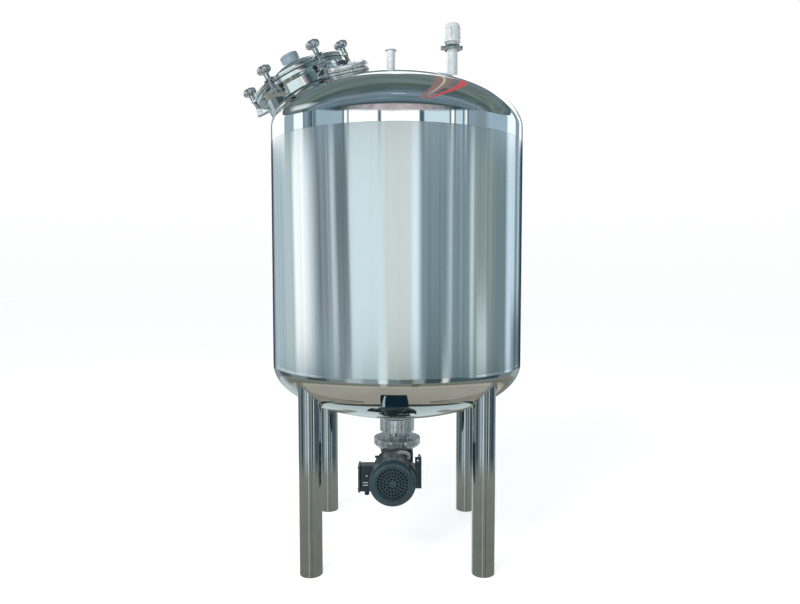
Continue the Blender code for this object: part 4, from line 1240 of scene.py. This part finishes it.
def add_terminal_box():
    """Connection box on the motor's left side, with its lid and the cable gland below."""
    left = MOTOR_X - 0.146
    back, front = -0.215, 0.0006 - COVER_BACK
    low, high = 0.332, 0.4515
    boss = (left + 0.002, front - 0.0012, low + 0.020), (left + 0.040, front + 0.004, low + 0.060)
    body = saddle(block((left, front, low), (MOTOR_X - 0.082, back, high), 0.004, 3))
    body = gather(body, block(*boss))
    # the box's darker enamel is painted shade
    piece("connection_box", body, shaded_box_enamel, "root", ["terminal_box"], TANK)
    bars = [
        block((left + 0.010, front - 0.0020, z), (left + 0.034, front, z + 0.003), 0.001, 2)
        for z in (low + 0.030, low + 0.042)
    ]
    place = shift(left + 0.028, front - 0.0002, high - 0.045) @ TO_FRONT
    bm = gather(*bars, screw(0.0032, 0.0022, place))
    piece("connection_box_clips", bm, zinc, place=TANK)
    corners = [(y, z) for y in (front + 0.008, back - 0.008) for z in (low + 0.010, high - 0.010)]
    rim = (left - 0.012, front - 0.003, low - 0.003), (left - 0.0003, back + 0.003, high + 0.003)
    to_left = Matrix.Rotation(-math.pi / 2, 4, "Y")
    caps = [screw(0.0035, 0.003, shift(left - 0.0115, y, z) @ to_left) for y, z in corners]
    lid = gather(block(*rim, 0.003, 3), *caps)
    piece("connection_box_lid", lid, enamel, "root", ["terminal_box_lid"], TANK)
    x = (left + MOTOR_X - R_MOTOR) / 2
    y = (front + back) / 2
    gland = gather(
        bar(0.0128, (x, y, low - 0.0003), (x, y, low - 0.010), 6, 0.0008),
        bar(0.0108, (x, y, low - 0.009), (x, y, low - 0.024), 32, 0.002),
        bar(0.0060, (x, y, low - 0.022), (x, y, low - 0.0258), 24, 0.001),
    )
    piece("gland", gland, nylon, "root", ["cable_gland"], TANK)


def holed_plate(low_x, high_x, low, high, hole_z, radius):
    """Upright plate in the XZ plane, 12 mm thick, with a round hole through its upper end."""
    middle = (low_x + high_x) / 2
    half = (high_x - low_x) / 2
    bm = bmesh.new()
    outer = [(high_x, hole_z), (high_x, hole_z + half), (middle, high), (low_x, hole_z + half)]
    outer += [(low_x, hole_z), (low_x, low), (middle, low), (high_x, low)]
    hole = [(middle + radius * math.cos(a), hole_z + radius * math.sin(a)) for a in angles(8)]
    rims = [ring_of(bm, [(x, 0.0, z) for x, z in points]) for points in (outer, hole)]
    bmesh.ops.subdivide_edges(bm, edges=rims[1], cuts=1)
    for vert in bm.verts:
        at = Vector((vert.co.x - middle, vert.co.z - hole_z))
        if at.length < radius * 1.01:
            at = at.normalized() * radius
            vert.co.x, vert.co.z = middle + at.x, hole_z + at.y
    inner = [e for e in bm.edges if e not in rims[0]]
    bmesh.ops.bridge_loops(bm, edges=rims[0] + inner)
    thicken(bm, bm.faces[:], (0, 0.012, 0))
    soften_corners(bm, 0.0008, 1)
    return bm


def add_feet():
    """Foot plate on the motor's right side, with its webs, lifting lug and bolt holes."""
    low, high = (0.100, 0.004 - COVER_BACK, 0.345), (0.112, -0.150, 0.469)
    webs = [
        saddle(block((MOTOR_X + 0.060, low[1] + 0.002, z), (0.106, high[1], z + 0.012)))
        for z in (MOTOR_Z - 0.042, MOTOR_Z + 0.018)
    ]
    lug = holed_plate(0.082, 0.112, low[2], 0.490, 0.474, 0.0058)
    lug = moved(lug, shift(0, low[1] + 0.003, 0))
    bm = gather(block(low, high, 0.003, 3), lug, *webs)
    piece("motor_foot_plate", bm, enamel, "root", ["motor_feet"], TANK)
    rows, levels = (low[1] + 0.030, high[1] - 0.022), (low[2] + 0.016, high[2] - 0.016)
    holes = [bar(0.0055, (0.0985, y, z), (0.11205, y, z), 24) for y in rows for z in levels]
    piece("foot_holes", gather(*holes), unlit, place=TANK)


def add_strap():
    """Pressed lifting strap bent over the motor's upper right, its broad face to the front."""
    # Distance from the motor's axis, and turn round it in degrees
    path = [(0.0970, 75), (0.1020, 74.5), (0.1065, 72), (0.1100, 67), (0.1140, 61)]
    path += [(0.1175, 55.5), (0.1170, 51), (0.1130, 47.5), (0.1070, 45), (0.0990, 42.5)]
    line = [Vector((reach, 0.0)) for reach, _ in path]
    for at, (_, turn) in zip(line, path):
        at.rotate(Matrix.Rotation(math.radians(turn), 2))
    half, back, face = 0.0080, 0.201, 0.205
    bm = bmesh.new()
    rims = []
    for i, at in enumerate(line):
        along = line[min(i + 1, len(line) - 1)] - line[max(i - 1, 0)]
        side = along.normalized().orthogonal() * half
        corners = (-1, face), (1, face), (1, back), (-1, back)
        rims.append(ring_of(bm, [(*(at + s * side), z) for s, z in corners]))
        if i:
            bmesh.ops.bridge_loops(bm, edges=rims[-2] + rims[-1])
    for end in (rims[0], rims[-1]):
        bmesh.ops.edgeloop_fill(bm, edges=end)
    bmesh.ops.recalc_face_normals(bm, faces=bm.faces[:])
    soften_corners(bm, 0.0008, 2)
    # its pale zinc tone is partly the plating's own, partly painted light
    piece("bent_lifting_strap", bm, zinc, "root", ["lifting_strap"], MOTOR)


add_shell()
add_heads()
add_legs()
add_neck()
add_lid()
add_bolts()
add_sight_glass()
add_vent()
add_outlet()
add_coupling()
add_gearbox()
add_motor()
add_terminal_box()
add_feet()
add_strap()


# ---- studio ----------------------------------------------------------------------------------


def stage_piece(name, bm, rays):
    """Floor or backdrop, hidden from the kinds of ray that are named."""
    mesh = mesh_of(bm, name)
    obj = new_object(name, mesh)
    material = bpy.data.materials.new(name + "_paint")
    material.use_nodes = True
    mesh.materials.append(material)
    for ray in rays:
        setattr(obj, "visible_" + ray, False)
    return material.node_tree


def add_floor():
    """Plain pale floor, lit through so that shadows on it stay faint; steel doesn't mirror it."""
    bm = bmesh.new()
    bmesh.ops.create_circle(bm, cap_ends=True, segments=96, radius=30.0)
    shader = stage_piece("studio_floor", bm, ["glossy"]).nodes["Principled BSDF"]
    shader.inputs["Base Color"].default_value = linear("ececec")
    shader.inputs["Roughness"].default_value = 0.9
    shader.inputs["Specular IOR Level"].default_value = 0.0
    shader.inputs["Emission Color"].default_value = linear("ffffff")
    shader.inputs["Emission Strength"].default_value = 0.70


def add_backdrop():
    """White cyclorama that only the eye sees, a touch darker where it meets the floor."""
    bm = bmesh.new()
    bmesh.ops.create_uvsphere(bm, u_segments=48, v_segments=24, radius=29.0)
    bmesh.ops.reverse_faces(bm, faces=bm.faces[:])
    rays = ["glossy", "diffuse", "transmission", "shadow", "volume_scatter"]
    tree = stage_piece("studio_backdrop", bm, rays)
    tree.nodes.clear()
    place = add(tree, "ShaderNodeTexCoord", out="Object")
    height = add(tree, "ShaderNodeSeparateXYZ", {0: place}, "Z")
    level = add(tree, MATH, {0: height, 1: 10.0}, operation="DIVIDE")
    stops = [(0.0, "fcfdfd"), (0.5, "ffffff")]
    tone = add(tree, RAMP, {"Fac": level}, stops=stops)
    glow = add(tree, "ShaderNodeEmission", {"Color": tone, "Strength": 1.0})
    add(tree, "ShaderNodeOutputMaterial", {"Surface": glow}, None)


# The hall that the steel mirrors, seen from the tank: each wall, post or window starts at an angle
# in degrees to the right of the front, with an edge that is blurred over some degrees.
LOWER_WALL = [
    (-180, 1, "7d868b"),
    (-146, 5, "a9bac0"),  # far wall on the left
    (-119, 6, "b4c1c3"),
    (-103, 3, "ffffff"),  # open door
    (-84, 8, "c6d0d8"),
    (-76, 7, "848e92"),
    (-63, 4, "99a3ab"),
    (-58, 2, "cdd6de"),
    (-54, 3, "7f8a8e"),  # door post
    (-41, 1, "d2e1e5"),  # wide bright curtain in front
    (-12, 4, "d0d6d5"),
    (12.6, 3, "dfedf7"),  # strip of daylight beside it
    (19.5, 4, "7b8f96"),
    (45, 1.5, "b4c2c7"),
    (48.5, 3, "82939b"),
    (66.5, 1.5, "cfdadd"),
    (70.5, 3, "8a9594"),
    (94, 5, "74868b"),
    (114, 3, "c8dae6"),  # window on the right
    (131, 2, "8496a0"),
    (139, 2, "a9bcc8"),
    (145, 2, "4e6570"),
    (158, 3, "7d868b"),
]
# The same walls from 10 degrees up, which the polished rim of the head mirrors sharply.
UPPER_WALL = [
    (-180, 1, "ffffff"),
    (-118, 1, "8b9fa6"),
    (-102, 1, "eef6fc"),
    (-89, 1, "3c5058"),
    (-87.5, 2, "8699a6"),
    (-77, 1, "374b53"),
    (-75.5, 6, "93a8b4"),
    (-47.6, 0.4, "2b434f"),  # left edge of the curtain, with its two dark cords
    (-46.2, 0.4, "ffffff"),
    (-43.4, 0.4, "5a6a70"),
    (-41.9, 0.4, "ffffff"),
    (-16, 0.5, "5a6c74"),  # post in front of the curtain
    (-13.4, 0.5, "ffffff"),
    (19.2, 0.5, "445d67"),
    (23.4, 0.5, "c0d3dc"),
    (45.6, 0.5, "2f4852"),
    (47.2, 0.5, "ffffff"),
    (49.6, 0.5, "40565f"),
    (51.2, 0.5, "bdd0dc"),
    (58.8, 0.5, "40565f"),
    (60.4, 0.5, "f2f8fc"),
    (62.4, 0.5, "40565f"),
    (63.8, 1, "8193a0"),
    (72, 6, "78888f"),
    (85, 6, "94a9b6"),
    (114, 1, "eef5f9"),
    (131, 1, "7b8e98"),
    (143, 1, "ffffff"),
]
# Plinths, machines and shade at the foot of the walls, which the legs mirror.
FOOT_WALL = [
    (-180, 1, "7a8488"),
    (-135, 8, "4a5557"),
    (-112, 8, "6f797b"),
    (-88, 5, "39454a"),
    (-64, 5, "6b767c"),
    (-45, 5, "98a5aa"),
    (-30, 4, "7b888c"),
    (-16, 2, "ccd9dc"),
    (-8, 2, "6b7779"),
    (3, 3, "55605f"),
    (14, 3, "808b8b"),
    (24, 3, "39484d"),
    (40, 2, "c9cecd"),
    (46, 3, "40525a"),
    (75, 6, "2f4149"),
    (105, 6, "6b7274"),
    (130, 6, "8b9396"),
    (150, 5, "7a8488"),
]
# Fine upright streaks on the lower walls: how much they show, by turn.
STREAK_SHARE = [
    (0.10, 0.6),
    (0.20, 0.2),
    (0.28, 0.2),
    (0.30, 0.6),
    (0.37, 0.6),
    (0.39, 0.08),
    (0.56, 0.08),
    (0.58, 0.45),
]
# Soft patches: azimuth, half width, elevation and half height in degrees, colour and share.
WALL_SPOTS = [
    (80, 6, -11, 7, "dbe8ee", 0.75),
    (34, 8, -7, 3, "5f7076", 0.5),
    (138, 14, -10, 6, "33454d", 0.7),
    (-49, 6, 7, 6, "5a686e", 0.6),
    (-62, 14, -11, 5, "a9bac6", 0.5),
    (-92, 13, -13, 5, "a3b4c0", 0.8),
]
FLOOR_SPOTS = [
    (-12, 3, -22, 7, "b4bdbd", 0.6),
    (17, 4, -24, 9, "4d5049", 0.7),
    (-160, 25, -24, 12, "b4c3c9", 0.7),
]
LAMP = (2.3, 8.0, 55.2, 0.7, "dfe6ea", 0.9)
# Elevation in quarter turns at which the shell's top seam mirrors the hall, by turn.
SEAM_LINE = [(0.2, 0.112), (0.38, 0.126), (0.5, 0.134), (0.62, 0.126), (0.8, 0.112)]
# Azimuth and elevation in degrees at which the walls end and the roof begins.
WALL_TOPS = [
    (-180, 51),
    (-165, 43),
    (-150, 34),
    (-138, 26),
    (-122, 17),
    (-100, 13.4),
    (-70, 12.9),
    (70, 12.9),
    (100, 13.4),
    (120, 17),
    (138, 26),
    (150, 34),
    (165, 43),
    (180, 51),
]
# Roof and floor are planes at unit distance over and under the tank; +Y is away from the front.
ROOF_NEAR, ROOF_SPAN = -4.0, 6.0
ROOF_BANDS = [
    (-4.0, "b9aeb1"),
    (-3.5, "909295"),
    (-2.75, "3a494f"),
    (-2.45, "3c4c52"),
    (-2.0, "5d6f78"),
    (-1.32, "6f848e"),
    (-1.05, "647b87"),
    (-0.78, "788795"),
    (-0.56, "808f98"),
    (-0.40, "616f78"),
    (-0.23, "596a6f"),
    (-0.10, "4e5e5b"),
    (0.04, "556561"),
    (0.16, "707f7b"),
    (0.60, "687774"),
    (0.85, "707d83"),
    (1.34, "59676d"),
]
FLOOR_BANDS = [
    (0.0, "938f86"),
    (0.285, "8a867d"),
    (0.292, "3c3a34"),
    (0.318, "34332e"),
    (0.328, "9dabac"),
    (0.6, "b2bebf"),
]
SHALLOW_FLOOR = [(0.19, "757872"), (0.24, "6c7069"), (0.30, "666a61"), (0.36, "aeaba4")]
# Strips on those planes: place, slope, half width, colour, both ends and how softly it ends.
ROOF_STRIPS = [
    (0.36, 0.11, 0.085, "8a6f6d", -1.3, 1.3),  # beam in shade
    (0.37, 0.12, 0.012, "aab0a2", -0.7, 1.3),  # pale pipe below it
    (0.512, 0.115, 0.046, "b9555a", -1.25, 1.3),  # red beam
    (-1.95, 0.15, 0.60, "c3ced3", -0.35, 1.0, 0.4),  # skylight
]
# Painted reflection of the drive in the hall's floor, larger than the plain curve of the solids'
# bottom end would show it; the last row is a painted highlight along its left side.
PAINTED_DRIVE_REFLECTION = [
    (-0.059, -0.123, 0.09, "10212a", -0.50, 0.70, 0.06, 0.9),
    (0.011, 0.05, 0.09, "10212a", -0.50, 0.70, 0.06, 0.9),
    # painted highlight along the left of the drive's painted reflection
    (-0.112, -0.062, 0.012, "8fa5ae", -0.42, 0.50, 0.1),
]
# A ray's turn, 0 to 1 with the front at 0.5, its rise in quarter turns, and where it meets the
# roof and the floor.
Hall = namedtuple("Hall", "tree turn rise roof floor")


def look_round(tree):
    """Everything that the hall's colours depend on, for each ray."""
    ray = add(tree, "ShaderNodeTexCoord", out="Generated")
    axes = add(tree, "ShaderNodeSeparateXYZ", {0: ray}, None).outputs
    front = add(tree, MATH, {0: axes["Y"], 1: -1.0}, operation="MULTIPLY")
    turn = add(tree, MATH, {0: axes["X"], 1: front}, operation="ARCTAN2")
    turn = add(tree, MATH, {0: turn, 1: 0.5 / math.pi, 2: 0.5}, operation="MULTIPLY_ADD")
    rise = add(tree, MATH, {0: axes["Z"]}, operation="ARCSINE")
    rise = add(tree, MATH, {0: rise, 1: 2.0 / math.pi}, operation="MULTIPLY")
    planes = []
    for sign in (1.0, -1.0):
        depth = add(tree, MATH, {0: axes["Z"], 1: sign}, operation="MULTIPLY")
        depth = add(tree, MATH, {0: depth, 1: 0.03}, operation="MAXIMUM")
        planes.append(
            [add(tree, MATH, {0: axes[k], 1: depth}, operation="DIVIDE") for k in ("X", "Y")]
        )
    return Hall(tree, turn, rise, *planes)


def above(hall, level, soft=0.006):
    """One where a ray points higher than a level, given in quarter turns."""
    over = add(hall.tree, MATH, {0: hall.rise, 1: level}, operation="SUBTRACT")
    return add(hall.tree, SPAN, {"Value": over, "From Min": 0.0, "From Max": soft})


def wall_of(tree, rows, at):
    """Colour of a list of walls at a turn; its left and right halves are a ramp each."""
    halves = []
    for part in ([r for r in rows if r[0] < 0], [r for r in rows if r[0] >= 0]):
        before = rows[rows.index(part[0]) - 1][2]
        stops = []
        for degrees, blur, colour in part:
            stops.append(((degrees - blur / 2) / 360.0 + 0.5, before))
            stops.append(((degrees + blur / 2) / 360.0 + 0.5, colour))
            before = colour
        halves.append(add(tree, RAMP, {0: at}, stops=stops))
    right = add(tree, MATH, {0: at, 1: 0.5}, operation="GREATER_THAN")
    return add(tree, MIX, {0: right, 6: halves[0], 7: halves[1]}, 2, **OVER)


def blot(hall, under, azimuth, half, level, reach, colour, share):
    """A soft patch of light or shade round a direction, all in degrees."""
    tree = hall.tree
    mask = share
    sides = (hall.turn, 360.0, azimuth + 180.0, half), (hall.rise, 90.0, level, reach)
    for value, scale, middle, size in sides:
        off = add(tree, MATH, {0: value, 1: scale, 2: -middle}, operation="MULTIPLY_ADD")
        off = add(tree, MATH, {0: off}, operation="ABSOLUTE")
        inputs = {"Value": off, "From Min": size * 1.4, "From Max": size * 0.6}
        edge = add(tree, SPAN, inputs, interpolation_type="SMOOTHSTEP")
        mask = add(tree, MATH, {0: edge, 1: mask}, operation="MULTIPLY")
    return add(tree, MIX, {0: mask, 6: under, 7: linear(colour)}, 2, **OVER)


def strip(tree, plane, under, place, slope, half, colour, near, far, fade=0.25, crisp=0.5):
    """A straight strip on a plane, along Y with a slight slope, between two distances."""
    u, v = plane
    off = add(tree, MATH, {0: v, 1: slope, 2: u}, operation="MULTIPLY_ADD")
    off = add(tree, MATH, {0: off, 1: place}, operation="SUBTRACT")
    off = add(tree, MATH, {0: off}, operation="ABSOLUTE")
    mask = add(tree, SPAN, {"Value": off, "From Min": half, "From Max": half * crisp})
    for end, inwards in ((near, fade), (far, -fade)):
        edge = add(tree, SPAN, {"Value": v, "From Min": end, "From Max": end + inwards})
        mask = add(tree, MATH, {0: edge, 1: mask}, operation="MULTIPLY")
    return add(tree, MIX, {0: mask, 6: under, 7: linear(colour)}, 2, **OVER)


def hall_walls(hall):
    """Walls all round; those on the left lean a little, and the back one has a foot and a rail."""
    tree, turn = hall.tree, hall.turn
    lean = add(tree, RAMP, {0: turn}, stops=[(0.02, 0.0), (0.1, 0.06), (0.4, 0.06), (0.46, 0.0)])
    lean = add(tree, MATH, {0: lean, 1: hall.rise, 2: turn}, operation="MULTIPLY_ADD")
    wall = wall_of(tree, LOWER_WALL, lean)
    inputs = {"W": lean, "Scale": 110.0, "Detail": 4.0}
    fine = add(tree, NOISE, inputs, noise_dimensions="1D")
    fine = add(tree, RAMP, {0: fine}, stops=[(0.35, "b9bdc0"), (0.60, "ffffff")])
    share = add(tree, RAMP, {0: turn}, stops=STREAK_SHARE)
    wall = add(tree, MIX, {0: share, 6: wall, 7: fine}, 2, **TIMES)
    for spot in WALL_SPOTS:
        wall = blot(hall, wall, *spot)
    line = add(tree, RAMP, {0: turn}, stops=SEAM_LINE)
    upper = wall_of(tree, UPPER_WALL, turn)
    wall = add(tree, MIX, {0: above(hall, line, 0.002), 6: wall, 7: upper}, 2, **OVER)
    foot = [(0.075, "7b858b"), (0.085, "ffffff"), (0.915, "ffffff"), (0.925, "7b858b")]
    foot = add(tree, RAMP, {0: turn}, stops=foot)
    foot = add(tree, MIX, {0: above(hall, 0.215), 6: foot, 7: linear("ffffff")}, 2, **OVER)
    wall = add(tree, MIX, {0: 1.0, 6: wall, 7: foot}, 2, **TIMES)
    rail = [(0.36, 0.0), (0.38, 1.0), (0.45, 1.0), (0.47, 0.0)]
    rail = add(tree, RAMP, {0: hall.rise}, stops=rail)
    return add(tree, MIX, {0: rail, 6: wall, 7: linear("6d777c")}, 2, **OVER)


def hall_roof(hall):
    """Roof in bands from front to back, with faint streaks, two beams, a skylight and a lamp."""
    tree = hall.tree
    u, v = hall.roof
    inputs = {0: v, 1: 1.0 / ROOF_SPAN, 2: -ROOF_NEAR / ROOF_SPAN}
    depth = add(tree, MATH, inputs, operation="MULTIPLY_ADD")
    stops = [((at - ROOF_NEAR) / ROOF_SPAN, colour) for at, colour in ROOF_BANDS]
    roof = add(tree, RAMP, {0: depth}, stops=stops)
    streaks = add(tree, "ShaderNodeCombineXYZ", {"X": u, "Y": v})
    streaks = add(tree, "ShaderNodeMapping", {"Vector": streaks, "Scale": (1.2, 5.0, 1.0)})
    streaks = add(tree, NOISE, {"Vector": streaks, "Scale": 1.0, "Detail": 4.0})
    streaks = add(tree, RAMP, {0: streaks}, stops=[(0.35, "c8c8c8"), (0.65, "ffffff")])
    roof = add(tree, MIX, {0: 0.8, 6: roof, 7: streaks}, 2, **TIMES)
    for row in ROOF_STRIPS:
        roof = strip(tree, hall.roof, roof, *row)
    return blot(hall, roof, *LAMP)


def hall_floor(hall):
    """Floor under the tank with the drive's painted reflection, and the floor's shallower view
    further out.
    """
    tree = hall.tree
    u, v = hall.floor
    curve = add(tree, MATH, {0: u, 1: u}, operation="MULTIPLY")
    curve = add(tree, MATH, {0: curve, 1: -2.3, 2: v}, operation="MULTIPLY_ADD")
    edge = add(tree, MATH, {0: curve, 1: 0.2, 2: 0.25}, operation="MULTIPLY_ADD")
    under = add(tree, RAMP, {0: edge}, stops=FLOOR_BANDS)
    # painted reflection of the drive, with its painted highlight
    for row in PAINTED_DRIVE_REFLECTION:
        under = strip(tree, hall.floor, under, *row)
    deep = add(tree, MATH, {0: hall.rise, 1: -1.0}, operation="MULTIPLY")
    out = add(tree, RAMP, {0: deep}, stops=SHALLOW_FLOOR)
    for spot in FLOOR_SPOTS:
        out = blot(hall, out, *spot)
    foot = wall_of(tree, FOOT_WALL, hall.turn)
    out = add(tree, MIX, {0: above(hall, -0.205, 0.02), 6: out, 7: foot}, 2, **OVER)
    steep = add(tree, RAMP, {0: deep}, stops=[(0.30, 0.0), (0.40, 1.0)])
    return add(tree, MIX, {0: steep, 6: out, 7: under}, 2, **OVER)


def hang_studio():
    """Soft studio light that comes from the hall round the tank: walls, roof and floor."""
    world = bpy.data.worlds.new("soft_studio")
    bpy.context.scene.world = world
    world.use_nodes = True
    tree = world.node_tree
    tree.nodes.clear()
    hall = look_round(tree)
    stops = [(azimuth / 360.0 + 0.5, degrees / 90.0) for azimuth, degrees in WALL_TOPS]
    top = above(hall, add(tree, RAMP, {0: hall.turn}, stops=stops), 0.002)
    seen = add(tree, MIX, {0: top, 6: hall_walls(hall), 7: hall_roof(hall)}, 2, **OVER)
    seen = add(tree, MIX, {0: above(hall, -0.113), 6: hall_floor(hall), 7: seen}, 2, **OVER)
    glow = add(tree, "ShaderNodeBackground", {"Color": seen, "Strength": 1.5})
    add(tree, "ShaderNodeOutputWorld", {"Surface": glow}, None)


def add_softbox():
    """Wide softbox above on the left; it shades the floor and paint, and steel doesn't show it."""
    data = bpy.data.lights.new("softbox", "AREA")
    data.size = 2.4
    data.energy = 150
    light = new_object("softbox", data)
    light.location = (-1.8, -2.6, 4.2)
    aim = Vector((TANK_X, 0.0, 0.6)) - light.location
    light.rotation_euler = aim.to_track_quat("-Z", "Y").to_euler()
    light.visible_glossy = False


def add_camera():
    """Camera at the photograph's place, in front of the tank at chest height."""
    distance, height = 3.202, 1.373
    down, roll = math.radians(3.38), -0.0046
    data = bpy.data.cameras.new("photo_camera")
    data.lens = 29.33
    data.sensor_width = 36.0
    data.clip_end = 100.0
    camera = new_object("photo_camera", data)
    camera.location = (TANK_X, -distance, height)
    camera.rotation_euler = (math.pi / 2 - down, 0.0, roll)
    bpy.context.scene.camera = camera


add_floor()
add_backdrop()
hang_studio()
add_softbox()
add_camera()
bpy.context.scene.view_settings.view_transform = "Standard"
